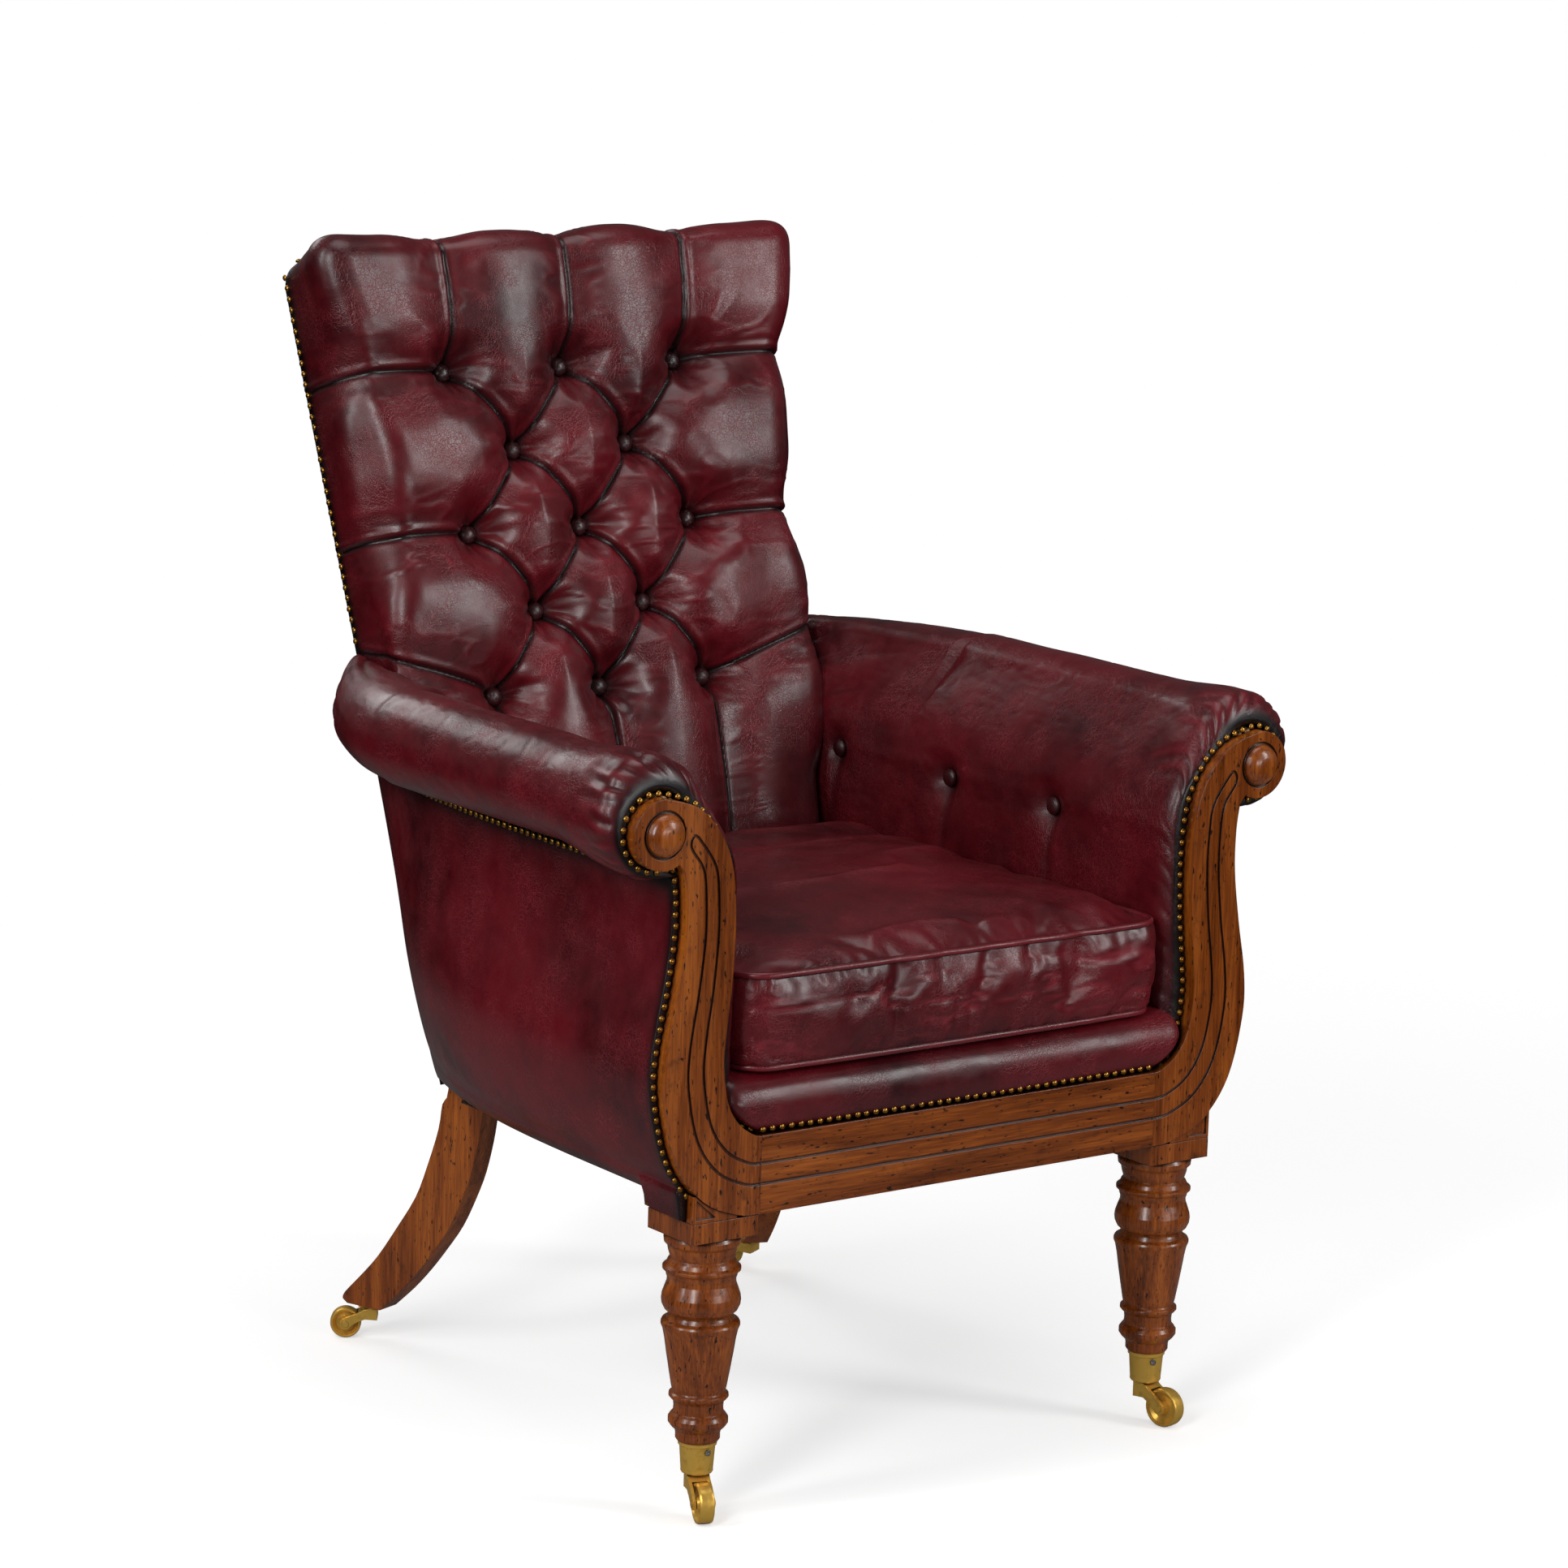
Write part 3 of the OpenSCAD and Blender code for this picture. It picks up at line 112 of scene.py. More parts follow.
def quarter(x: Any) -> Any:
    """Returns the rise of a quarter circle: steep at 0, level from 1 on."""
    return np.sqrt(1 - (1 - np.clip(x, 0.0, 1.0)) ** 2)


def bell(x: Any) -> Any:
    """Returns a bell that is 1 at 0 and small beyond 2."""
    return np.exp(-np.square(x))


def spline(points: Array, steps: int) -> Array:
    """Lays a smooth curve through points.

    Args:
        points: The points, one a row.
        steps: Steps between one point and the next.

    Returns:
        The curve's points.
    """
    p = np.asarray(points, float)
    q = np.vstack([p[:1], p, p[-1:]])
    t = np.arange(steps)[:, None] / steps
    runs = []
    for a, b, c, d in zip(q, q[1:], q[2:], q[3:]):
        square, cube = 2 * a - 5 * b + 4 * c - d, 3 * b - a - 3 * c + d
        runs.append((2 * b + (c - a) * t + square * t**2 + cube * t**3) / 2)
    return np.vstack(runs + [p[-1:]])


def run_lengths(points: Array, axis: int = 0) -> Array:
    """Returns the distance run along an axis of points, from 0 at its start."""
    steps = np.linalg.norm(np.diff(points, axis=axis), axis=-1)
    start = np.zeros_like(np.take(steps, [0], axis=axis))
    return np.concatenate([start, np.cumsum(steps, axis=axis)], axis=axis)


def resample(points: Array, count: int) -> Array:
    """Returns count points at even distances along a run of points."""
    length = run_lengths(points)
    at = np.linspace(0, length[-1], count)
    return np.stack([np.interp(at, length, points[:, k]) for k in range(points.shape[1])], axis=1)


def offset(points: Array, distance: float) -> Array:
    """Returns a 2-D run of points moved to its left by a distance."""
    step = np.gradient(points, axis=0)
    left = np.stack([-step[:, 1], step[:, 0]], axis=1)
    return points + left / np.linalg.norm(left, axis=1, keepdims=True) * distance


class Noise:
    """Smooth lattice noise in three dimensions, the same on every run."""

    cells = 32

    def __init__(self, seed: int) -> None:
        """Fills the lattice from a seed."""
        self.table = np.random.default_rng(seed).uniform(-1, 1, (self.cells,) * 3)

    def at(self, points: Array, size: Any, detail: int = 1) -> Array:
        """Reads the noise.

        Args:
            points: Points, with their three numbers last.
            size: Size of a bump in millimetres, one number or one for each axis.
            detail: How many layers, each of half the size and strength.

        Returns:
            One value a point, mostly between -1 and 1.
        """
        q = points / np.asarray(size, float)
        total = np.zeros(points.shape[:-1])
        strength = 1.0
        for _ in range(detail):
            base = np.floor(q).astype(int)
            part = ease(q - base)
            for corner in np.ndindex(2, 2, 2):
                weight = np.prod(np.where(np.array(corner, bool), part, 1 - part), axis=-1)
                i, j, k = np.moveaxis((base + corner) % self.cells, -1, 0)
                total += strength * weight * self.table[i, j, k]
            q = q * 2.03 + 7.7
            strength *= 0.5
        return total


# Meshes --------------------------------------------------------------------------------------


class Place:
    """Where the chair's own millimetres lie in the row frame."""

    front_y_m = 0.0

    @classmethod
    def read(cls) -> None:
        """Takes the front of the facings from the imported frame."""
        cls.front_y_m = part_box("facing_left")[0][1]

    @classmethod
    def to_row(cls, points: Array) -> Array:
        """Returns points in metres in the row frame."""
        return np.asarray(points, float) * METRE + np.array([0.0, cls.front_y_m, 0.0])

    @classmethod
    def from_row(cls, points: Array) -> Array:
        """Returns points of the row frame in the chair's millimetres."""
        return (np.asarray(points, float) - np.array([0.0, cls.front_y_m, 0.0])) / METRE


def grid_faces(rows: int, cols: int, wrap: bool = False) -> list[list[int]]:
    """Lists the quads of a grid of points.

    Args:
        rows: Rows of points.
        cols: Points in a row.
        wrap: Whether a row's last point joins its first.

    Returns:
        Four indices a face.
    """
    i, j = np.meshgrid(np.arange(rows - 1), np.arange(cols if wrap else cols - 1), indexing="ij")
    a = i * cols + j
    b = i * cols + (j + 1) % cols
    return np.stack([a, b, b + cols, a + cols], axis=-1).reshape(-1, 4).tolist()


def mesh_object(
    name: str, points: Array, faces: list[list[int]], dark: Array | None = None
) -> bpy.types.Object:
    """Makes a smooth mesh object.

    Args:
        name: The object's name.
        points: Its points in the chair's millimetres.
        faces: Its faces.
        dark: How much painted shade each point takes, from 0 to 1, or how far it is painted lighter, as
            rubbed wear and painted highlight, down to -1.

    Returns:
        The object.
    """
    flat = points.reshape(-1, 3)
    mesh = bpy.data.meshes.new(name)
    mesh.from_pydata(Place.to_row(flat).tolist(), [], faces)
    mesh.shade_smooth()
    values = np.zeros(len(flat)) if dark is None else np.clip(dark, -1, 1).reshape(-1)
    mesh.attributes.new("dark", "FLOAT", "POINT").data.foreach_set("value", values.astype(np.float32))
    mesh.update()
    piece = bpy.data.objects.new(name, mesh)
    bpy.context.scene.collection.objects.link(piece)
    return piece


class Skin:
    """A surface held as a grid of points, pushed in and out along its normals."""

    def __init__(self, points: Array, outward: Sequence[float]) -> None:
        """Takes the grid and a direction that its middle faces, roughly."""
        self.points = points
        # dark holds painted shade; worn holds rubbed wear and painted highlight
        self.dark = np.zeros(points.shape[:2])
        self.worn = np.zeros(points.shape[:2])
        self.sign = 1.0
        middle = self.normals()[points.shape[0] // 2, points.shape[1] // 2]
        self.sign = 1.0 if middle @ np.asarray(outward, float) > 0 else -1.0

    def normals(self) -> Array:
        """Returns the grid's outward unit normals."""
        down = np.gradient(self.points, axis=0)
        across = np.gradient(self.points, axis=1)
        n = np.cross(across, down) * self.sign
        return n / np.maximum(np.linalg.norm(n, axis=-1, keepdims=True), 1e-9)

    def push(self, amount: Array) -> None:
        """Moves each point outward by an amount."""
        self.points = self.points + self.normals() * np.asarray(amount)[..., None]

    def paint_shade(self, amount: Array) -> None:
        """Adds painted shade, darkening the leather where shade falls."""
        self.dark = 1 - (1 - self.dark) * (1 - np.clip(amount, 0, 1))

    def rub(self, amount: Array) -> None:
        """Adds to how far the leather is painted lighter, as rubbed wear and painted highlight."""
        self.worn = np.maximum(self.worn, amount)

    def make(self, name: str, caps: Sequence[Sequence[int]] = ()) -> bpy.types.Object:
        """Returns the surface as an object, closed by caps, each a loop of point numbers."""
        rows, cols = self.points.shape[:2]
        faces = grid_faces(rows, cols)
        if self.sign < 0:
            faces = [face[::-1] for face in faces]
        # painted shade darkens; rubbed wear with painted highlight lightens
        dark = self.dark - self.worn * (1 - self.dark)
        return mesh_object(name, self.points, faces + [list(cap) for cap in caps], dark)


def tube(path: Array, radius: float, sides: int = 12) -> tuple[Array, list[list[int]]]:
    """Runs a round section along a closed path.

    Args:
        path: The path's points, the last next to the first.
        radius: The section's radius.
        sides: Points round the section.

    Returns:
        The tube's points and faces.
    """
    along = np.roll(path, -1, axis=0) - np.roll(path, 1, axis=0)
    along /= np.linalg.norm(along, axis=1, keepdims=True)
    side = np.cross(along, [0.0, 0.0, 1.0])
    side /= np.linalg.norm(side, axis=1, keepdims=True)
    over = np.cross(side, along)
    turn = np.linspace(0, 2 * math.pi, sides, endpoint=False)[None, :, None]
    points = path[:, None] + radius * (side[:, None] * np.cos(turn) + over[:, None] * np.sin(turn))
    points = np.concatenate([points, points[:1]])
    return points, grid_faces(len(path) + 1, sides, wrap=True)


def turned_spots(
    name: str, spots: Array, aims: Array, profile: Array, sides: int, dark: float = 0.0
) -> bpy.types.Object:
    """Makes one mesh of many equal turned heads, such as nails or buttons.

    Args:
        name: The object's name.
        spots: Where each head's foot stands.
        aims: The direction each head faces.
        profile: Radius and height from the rim to the crown.
        sides: Points round a head.
        dark: How much painted shade the heads take.

    Returns:
        The object.
    """
    aims = aims / np.linalg.norm(aims, axis=1, keepdims=True)
    up = np.where(np.abs(aims[:, 2:3]) < 0.9, [[0.0, 0.0, 1.0]], [[1.0, 0.0, 0.0]])
    side = np.cross(aims, up)
    side /= np.linalg.norm(side, axis=1, keepdims=True)
    over = np.cross(aims, side)
    turn = np.linspace(0, 2 * math.pi, sides, endpoint=False)
    ring = np.cos(turn)[None, :, None] * side[:, None] + np.sin(turn)[None, :, None] * over[:, None]
    points = (
        spots[:, None, None]
        + ring[:, None] * profile[None, :, 0, None, None]
        + aims[:, None, None] * profile[None, :, 1, None, None]
    )
    rows = len(profile)
    base = np.array(grid_faces(rows, sides, wrap=True))[:, ::-1]
    crown = np.arange((rows - 1) * sides, rows * sides)[::-1]
    faces = []
    for k in range(len(spots)):
        faces += (base + k * rows * sides).tolist() + [(crown + k * rows * sides).tolist()]
    return mesh_object(name, points, faces, np.full(len(spots) * rows * sides, dark))


# Finishes ------------------------------------------------------------------------------------

# Socket numbers of a Mix node that mixes colours
MIX_FACTOR, MIX_A, MIX_B, MIX_RESULT = 0, 6, 7, 2


def linear(hex_colour: str) -> tuple[float, float, float, float]:
    """Returns an sRGB hex colour as linear red, green, blue and alpha."""
    parts = [int(hex_colour[k : k + 2], 16) / 255 for k in (1, 3, 5)]
    r, g, b = [p / 12.92 if p <= 0.04045 else ((p + 0.055) / 1.055) ** 2.4 for p in parts]
    return r, g, b, 1.0


def scale_for(size: float) -> float:
    """Returns the texture scale at which a pattern in object metres repeats about every size millimetres."""
    return 1 / (size * METRE)


class Shader:
    """A node tree under construction, of a material or of the world."""

    def __init__(self, owner: bpy.types.ID) -> None:
        """Empties the owner's tree."""
        owner.use_nodes = True
        self.tree = owner.node_tree
        self.tree.nodes.clear()

    def add(
        self,
        kind: str,
        inputs: dict[str | int, Any] | None = None,
        stops: Sequence[tuple[float, Any]] = (),
        **settings: Any,
    ) -> bpy.types.Node:
        """Adds a node.

        Args:
            kind: The node's type, without its ShaderNode prefix.
            inputs: Values or linked sockets for its inputs, by name or number.
            stops: Places and colours of a colour ramp.
            settings: The node's own settings.

        Returns:
            The node.
        """
        node = self.tree.nodes.new("ShaderNode" + kind)
        for key, value in settings.items():
            setattr(node, key, value)
        for key, value in (inputs or {}).items():
            if isinstance(value, bpy.types.NodeSocket):
                self.tree.links.new(value, node.inputs[key])
            else:
                node.inputs[key].default_value = value
        for k, (place, colour) in enumerate(stops):
            ramp = node.color_ramp.elements
            stop = ramp[k] if k < 2 else ramp.new(place)
            stop.position = place
            stop.color = linear(colour) if isinstance(colour, str) else (colour, colour, colour, 1.0)
        return node

    def place(self) -> Socket:
        """Returns the place on the object, in metres."""
        return self.add("TexCoord").outputs["Object"]

    def math(self, operation: str, *values: Any) -> Socket:
        """Returns a sum of one to three values."""
        return self.add("Math", dict(enumerate(values)), operation=operation).outputs[0]

    def times(self, vector: Socket, factors: Sequence[float]) -> Socket:
        """Returns a vector with its three parts multiplied."""
        return self.add("VectorMath", {0: vector, 1: factors}, operation="MULTIPLY").outputs[0]

    def noise(self, place: Socket, size: float, **inputs: float) -> Socket:
        """Returns noise with bumps of a size in millimetres."""
        named = {key.capitalize(): value for key, value in inputs.items()}
        return self.add("TexNoise", {"Vector": place, "Scale": scale_for(size), **named}).outputs["Fac"]

    def cells(self, place: Socket, size: float, feature: str = "F1") -> Socket:
        """Returns the distance to the middles, or to the edges, of cells of a size in millimetres."""
        cells = self.add("TexVoronoi", {"Vector": place, "Scale": scale_for(size)}, feature=feature)
        return cells.outputs["Distance"]

    def ramp(self, value: Socket, *stops: tuple[float, Any]) -> Socket:
        """Returns the colour of a ramp at a value."""
        return self.add("ValToRGB", {"Fac": value}, stops=stops).outputs["Color"]

    def blend(self, share: Socket, first: Any, second: Any) -> Socket:
        """Returns a colour a share of the way from a first to a second one."""
        a, b = [linear(colour) if isinstance(colour, str) else colour for colour in (first, second)]
        return self.add("Mix", {MIX_FACTOR: share, MIX_A: a, MIX_B: b}, data_type="RGBA").outputs[MIX_RESULT]

    def hollows(self, reach_m: float, *stops: tuple[float, Any]) -> Socket:
        """Returns a ramp along how open the surroundings are within a reach in metres."""
        open_share = self.add("AmbientOcclusion", {"Distance": reach_m}, samples=8).outputs["AO"]
        return self.ramp(open_share, *stops)

    def gloss(self, value: Socket, smooth: float, rough: float) -> Socket:
        """Returns a roughness that follows a noise."""
        span = {"From Min": 0.3, "From Max": 0.7, "To Min": smooth, "To Max": rough}
        return self.add("MapRange", {"Value": value, **span}).outputs[0]

    def bump(
        self,
        height: Socket,
        strength: float,
        distance_m: float,
        normal: Socket | None = None,
        invert: bool = False,
    ) -> Socket:
        """Returns a normal bent by a height.

        Args:
            height: The height.
            strength: How strongly it shows.
            distance_m: The rise in metres from a height of 0 to 1.
            normal: The normal that it bends, the mesh's own where none is given.
            invert: Whether a height is a depth.

        Returns:
            The bent normal.
        """
        inputs = {"Strength": strength, "Distance": distance_m, "Height": height}
        if normal is not None:
            inputs["Normal"] = normal
        return self.add("Bump", inputs, invert=invert).outputs["Normal"]

    def finish(self, colour: Socket, roughness: Any, normal: Socket, **inputs: float) -> None:
        """Ends a material's tree with its surface, other inputs given by name."""
        named = {key.replace("_", " ").title(): value for key, value in inputs.items()}
        named |= {"Base Color": colour, "Roughness": roughness, "Normal": normal}
        surface = self.add("BsdfPrincipled", named)
        self.add("OutputMaterial", {"Surface": surface.outputs[0]})


def new_material(name: str) -> tuple[bpy.types.Material, Shader]:
    """Returns a new material and its empty shader."""
    material = bpy.data.materials.new(name)
    return material, Shader(material)


@dataclass(frozen=True)
class OxbloodLeather:
    """Cow hide, aniline dyed and hand rubbed: red where the hand has rubbed it, with painted highlight on
    ridges and black painted shade in every fold.
    """

    # black is the painted shade; worn is the lighter red of the cracks, of rubbed wear and of painted
    # highlight
    black: str = "#0d0304"
    deep: str = "#2b050a"
    red: str = "#620b16"
    worn: str = "#8e2833"
    cloud_size: float = 150.0
    mottle_size: float = 26.0
    patch_size: float = 48.0
    wrinkle_size: float = 24.0
    wander_m: float = 0.006
    crackle_size: float = 6.5
    fine_crackle_size: float = 2.6
    grain_size: float = 1.2

    def material(self) -> bpy.types.Material:
        """Returns the leather's material."""
        material, s = new_material("oxblood_hide_aniline_rubbed")
        place = s.place()
        # the hide's own wander bends the net of cracks
        wander = {"Vector": place, "Scale": scale_for(self.wrinkle_size), "Detail": 3.0}
        bent = s.times(s.add("TexNoise", wander).outputs["Color"], (self.wander_m,) * 3)
        bent = s.add("VectorMath", {0: place, 1: bent}, operation="ADD").outputs[0]
        cloud = s.noise(place, self.cloud_size, detail=4.0, roughness=0.62)
        mottle = s.noise(bent, self.mottle_size, detail=5.0, roughness=0.7)
        tone = s.math("MULTIPLY_ADD", cloud, 0.6, s.math("MULTIPLY", mottle, 0.18))
        colour = s.ramp(tone, (0.24, self.deep), (0.47, self.red))
        # cracks of the finish, lighter than the hide, in patches
        nets = [
            s.ramp(s.cells(bent, size, "DISTANCE_TO_EDGE"), (0.0, 1.0), (width, 0.0))
            for size, width in ((self.crackle_size, 0.035), (self.fine_crackle_size, 0.06))
        ]
        patch = s.ramp(s.noise(place, self.patch_size, detail=2.0), (0.42, 0.0), (0.6, 1.0))
        cracks = s.math("MULTIPLY", s.math("MAXIMUM", *nets), patch)
        colour = s.blend(s.math("MULTIPLY", cracks, 0.55), colour, self.worn)
        # the mesh says where painted shade falls, in folds, pits, seams and under neighbouring parts, and
        # where rubbed wear and painted highlight make it lighter
        dark = s.add("Attribute", attribute_name="dark").outputs["Fac"]
        colour = s.blend(s.math("MULTIPLY", dark, -0.7), colour, self.worn)
        # painted shade: towards black as the dark attribute rises
        colour = s.blend(dark, colour, self.black)
        # grain and creases: height from the fine cells, the cracks and slow wrinkles
        bump = s.bump(s.cells(bent, self.grain_size), 0.22, 0.0002)
        bump = s.bump(cracks, 0.35, 0.0003, bump, invert=True)
        bump = s.bump(s.noise(bent, self.wrinkle_size, detail=2.0), 0.4, 0.0009, bump)
        s.finish(colour, s.gloss(mottle, 0.26, 0.42), bump, coat_weight=0.16, coat_roughness=0.22)
        return material


class GrainRun(Enum):
    """The way a piece of wood was cut: the axis that its fibres run along."""

    ACROSS = (0.05, 1.0, 1.0)
    UP = (1.0, 1.0, 0.05)


@dataclass(frozen=True)
class PolishedMahogany:
    """Mahogany, carved and French polished over dark stain: warm orange with black pores and grooves."""

    run: GrainRun = GrainRun.UP
    light: str = "#a4560f"
    middle: str = "#7c3a08"
    deep: str = "#522305"
    darkening: str = "#160904"
    fibre_size: float = 1.5
    band_size: float = 22.0
    pore_size: float = 2.4
    stain_size: float = 19.0

    def material(self) -> bpy.types.Material:
        """Returns the wood's material."""
        material, s = new_material(f"mahogany_french_polished_{self.run.name.lower()}")
        place = s.place()
        along = s.times(place, self.run.value)
        fibres = s.noise(along, self.fibre_size, detail=4.0, distortion=0.4)
        bands = s.noise(along, self.band_size, detail=3.0, distortion=1.2)
        tone = s.math("MULTIPLY_ADD", bands, 0.6, s.math("MULTIPLY", fibres, 0.45))
        wood = s.ramp(tone, (0.36, self.deep), (0.7, self.light), (0.52, self.middle))
        # pores and knocks filled with dark wax
        speck = s.times(place, tuple(mix(v, 1.0, 0.3) for v in self.run.value))
        pores = s.ramp(s.noise(speck, self.pore_size, detail=2.0), (0.64, 0.0), (0.7, 1.0))
        stain = s.ramp(s.noise(place, self.stain_size, detail=4.0, roughness=0.7), (0.57, 0.0), (0.78, 0.65))
        # darker in grooves, from ambient occlusion: the closer the walls, the blacker
        grooves = s.hollows(0.007, (0.45, 1.0), (0.86, 0.0))
        darkening = s.math("MAXIMUM", s.math("MAXIMUM", pores, stain), grooves)
        edge = s.add("Bevel", {"Radius": 0.0014}, samples=6).outputs["Normal"]
        bump = s.bump(fibres, 0.25, 0.0003, edge)
        gloss = s.gloss(bands, 0.24, 0.36)
        s.finish(s.blend(darkening, wood, self.darkening), gloss, bump, coat_weight=0.4, coat_roughness=0.14)
        return material


@dataclass(frozen=True)
class SawnBeech:
    """Beech as sawn, for the hidden frame: pale, dull, with short flecks."""

    light: str = "#c79b6b"
    fleck: str = "#8f6238"
    fleck_size: float = 2.2
    roughness: float = 0.62

    def material(self) -> bpy.types.Material:
        """Returns the wood's material."""
        material, s = new_material("beech_sawn")
        fleck = s.noise(s.times(s.place(), (1.0, 0.3, 0.2)), self.fleck_size, detail=4.0)
        colour = s.ramp(fleck, (0.36, self.fleck), (0.6, self.light))
        s.finish(colour, self.roughness, s.bump(fleck, 0.3, 0.0004))
        return material


@dataclass(frozen=True)
class Metal:
    """A metal part: its colour, how far it shines, and the dirt that sits in its corners."""

    name: str
    colour: str
    dirt: str
    roughness: float
    scratch_size: float
    metallic: float = 1.0

    def material(self) -> bpy.types.Material:
        """Returns the metal's material."""
        material, s = new_material(self.name)
        rub = s.noise(s.place(), self.scratch_size, detail=5.0)
        gloss = s.gloss(rub, self.roughness * 0.75, self.roughness * 1.4)
        corner = s.hollows(0.004, (0.3, 1.0), (0.8, 0.0))
        tarnish = s.ramp(rub, (0.55, 0.0), (0.8, 0.5))
        colour = s.blend(s.math("MAXIMUM", corner, tarnish), self.colour, self.dirt)
        edge = s.add("Bevel", {"Radius": 0.0005}, samples=4).outputs["Normal"]
        s.finish(colour, gloss, s.bump(rub, 0.12, 0.0002, edge), metallic=self.metallic)
        return material


# Cast brass, filed and polished: bright yellow with brown in the corners
CASTOR_BRASS = Metal("brass_cast_polished", "#f2c25a", "#7a4c16", 0.34, 9.0, 0.7)
# Brass nail heads, stamped and left to dull: gold on the crown, brown at the rim
NAIL_BRASS = Metal("brass_stamped_antiqued", "#b8873c", "#1f1006", 0.32, 5.0)
# Turned steel screws: grey with a dark slot
SCREW_STEEL = Metal("steel_turned", "#a9a7a2", "#2a2622", 0.32, 3.0)


@dataclass(frozen=True)
class WovenCloth:
    """A plain weave: threads over and under, with painted highlight on their crowns and painted shade in the
    gaps.
    """

    name: str
    thread: str
    gap: str
    thread_size: float
    roughness: float = 0.85

    def material(self) -> bpy.types.Material:
        """Returns the cloth's material."""
        material, s = new_material(self.name)
        # a wave texture makes about twenty bands in a length of one over its scale
        scale = scale_for(self.thread_size * 20)
        wave = {"Vector": s.place(), "Scale": scale, "Distortion": 0.6, "Detail": 1.0}
        waves = [s.add("TexWave", wave, bands_direction=axis).outputs["Fac"] for axis in ("X", "Y")]
        weave = s.math("MULTIPLY", *waves)
        # the ramp paints the gaps dark as painted shade, the crowns light as painted highlight
        colour = s.ramp(weave, (0.1, self.gap), (0.6, self.thread))
        s.finish(colour, self.roughness, s.bump(weave, 0.5, 0.0004))
        return material


# Jute webbing, woven: tan threads 1.6 mm apart
JUTE_WEBBING = WovenCloth("jute_woven", "#b39468", "#6b5232", 1.6)
# Black cotton platform cloth, woven: drawn at 1.2 mm a thread, coarser than real, so that it shows
DUST_CLOTH = WovenCloth("cotton_black_woven", "#1d1c1c", "#0a0a0a", 1.2)


# Shared shapes -------------------------------------------------------------------------------


@dataclass(frozen=True)
class FacingCurves:
    """The outlines of a wooden arm facing, as shares of the way from the rail's end to the scroll."""

    rail_half: float = 206.0
    rail_z: float = 258.0
    rail_h: float = 65.0
    scroll_x: float = 308.0
    scroll_z: float = 580.0
    scroll_r: float = 29.0
    thickness: float = 12.0
    inner_shares: tuple[tuple[float, float], ...] = (
        (0.079, 0.208), (0.228, 0.242), (0.337, 0.301), (0.386, 0.401), (0.366, 0.488),
        (0.327, 0.602), (0.307, 0.73), (0.317, 0.829), (0.356, 0.91), (0.475, 0.994), (0.693, 1.06),
    )
    outer_shares: tuple[tuple[float, float], ...] = (
        (0, 0), (0.208, 0.006), (0.545, 0.053), (0.802, 0.158), (0.931, 0.317), (0.931, 0.435),
        (0.842, 0.584), (0.777, 0.72), (0.772, 0.829), (0.8, 0.9),
    )

    def placed(self, shares: Sequence[tuple[float, float]]) -> Array:
        """Returns shares as x and z."""
        s = np.asarray(shares, float)
        return np.stack(
            [mix(self.rail_half, self.scroll_x, s[:, 0]), mix(self.rail_z, self.scroll_z, s[:, 1])], axis=1
        )

    def inner(self) -> Array:
        """Returns the inner curve, upward."""
        ends = [(self.rail_half, self.rail_z + self.rail_h)], [(self.scroll_x, self.scroll_z + self.scroll_r)]
        return spline(np.vstack([ends[0], self.placed(self.inner_shares), ends[1]]), 5)

    def outer(self) -> Array:
        """Returns the outer curve, upward."""
        return spline(self.placed(self.outer_shares), 5)

    def inner_x(self, z: Any) -> Any:
        """Returns how far out the inner curve is at a height."""
        curve = self.inner()
        return np.interp(z, curve[:, 1], curve[:, 0])

    def outer_x(self, z: Any) -> Any:
        """Returns how far out the outer curve is at a height."""
        curve = self.outer()
        return np.interp(z, curve[:, 1], curve[:, 0])


FACING = FacingCurves()


@dataclass(frozen=True)
class BackPlane:
    """The raked plane of the back: x, w forward of its rear face and u up along it."""

    rake: float = math.radians(15.0)
    foot_y: float = 501.0
    foot_z: float = 238.0
    half_foot: float = 191.0
    half_top: float = 250.0
    length: float = 742.0
    top: float = 748.0
    leather: float = 2.8

    def half(self, u: Any) -> Any:
        """Returns the half width of the rear face at a height along the rake."""
        return mix(self.half_foot, self.half_top, u / self.length)

    def placed(self, local: Array) -> Array:
        """Returns local points as the chair's x, y and z."""
        x, w, u = np.moveaxis(local, -1, 0)
        sin, cos = math.sin(self.rake), math.cos(self.rake)
        return np.stack([x, self.foot_y + u * sin - w * cos, self.foot_z + u * cos + w * sin], axis=-1)

    def side_x(self, z: Any) -> Any:
        """Returns the half width of the back at a height above the floor, outside its leather."""
        return self.half((z - self.foot_z) / math.cos(self.rake)) + self.leather

    def rear_y(self, z: Any) -> Any:
        """Returns the depth of the rear face at a height above the floor."""
        return self.foot_y + (z - self.foot_z) * math.tan(self.rake)


BACK = BackPlane()
# Depth at which an arm's leather starts, behind its facing
PANEL_FRONT = 12.3
# Height of the seam under an arm's roll
SEAM_Z = 541.0


class Upholstery:
    """What every leather sub-assembly shares: its finish, and how a piece is put on the chair."""

    def __init__(self, leather: bpy.types.Material, noise: Noise) -> None:
        """Takes the leather's material and the noise of its fullness."""
        self.leather = leather
        self.noise = noise

    def dress(
        self,
        piece: bpy.types.Object,
        body: Body = Body.FRAME,
        slot: Slot = Slot.LEATHER,
        material: bpy.types.Material | None = None,
    ) -> bpy.types.Object:
        """Gives a piece its material and body.

        Args:
            piece: The new piece.
            body: The body it rides on.
            slot: Not used.
            material: Its material, the leather where none is given.

        Returns:
            The piece.
        """
        piece.data.materials.append(material or self.leather)
        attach(piece, body.value)
        LOG.info("%s: %d faces", piece.name, len(piece.data.polygons))
        return piece


# How late an arm's side panel turns in to the back: the power of its depth
PANEL_TURN = 4
# The rounding of its rear edge: how far in, and over what depth
PANEL_ROUND, PANEL_ROUND_RUN = 5.0, 14.0


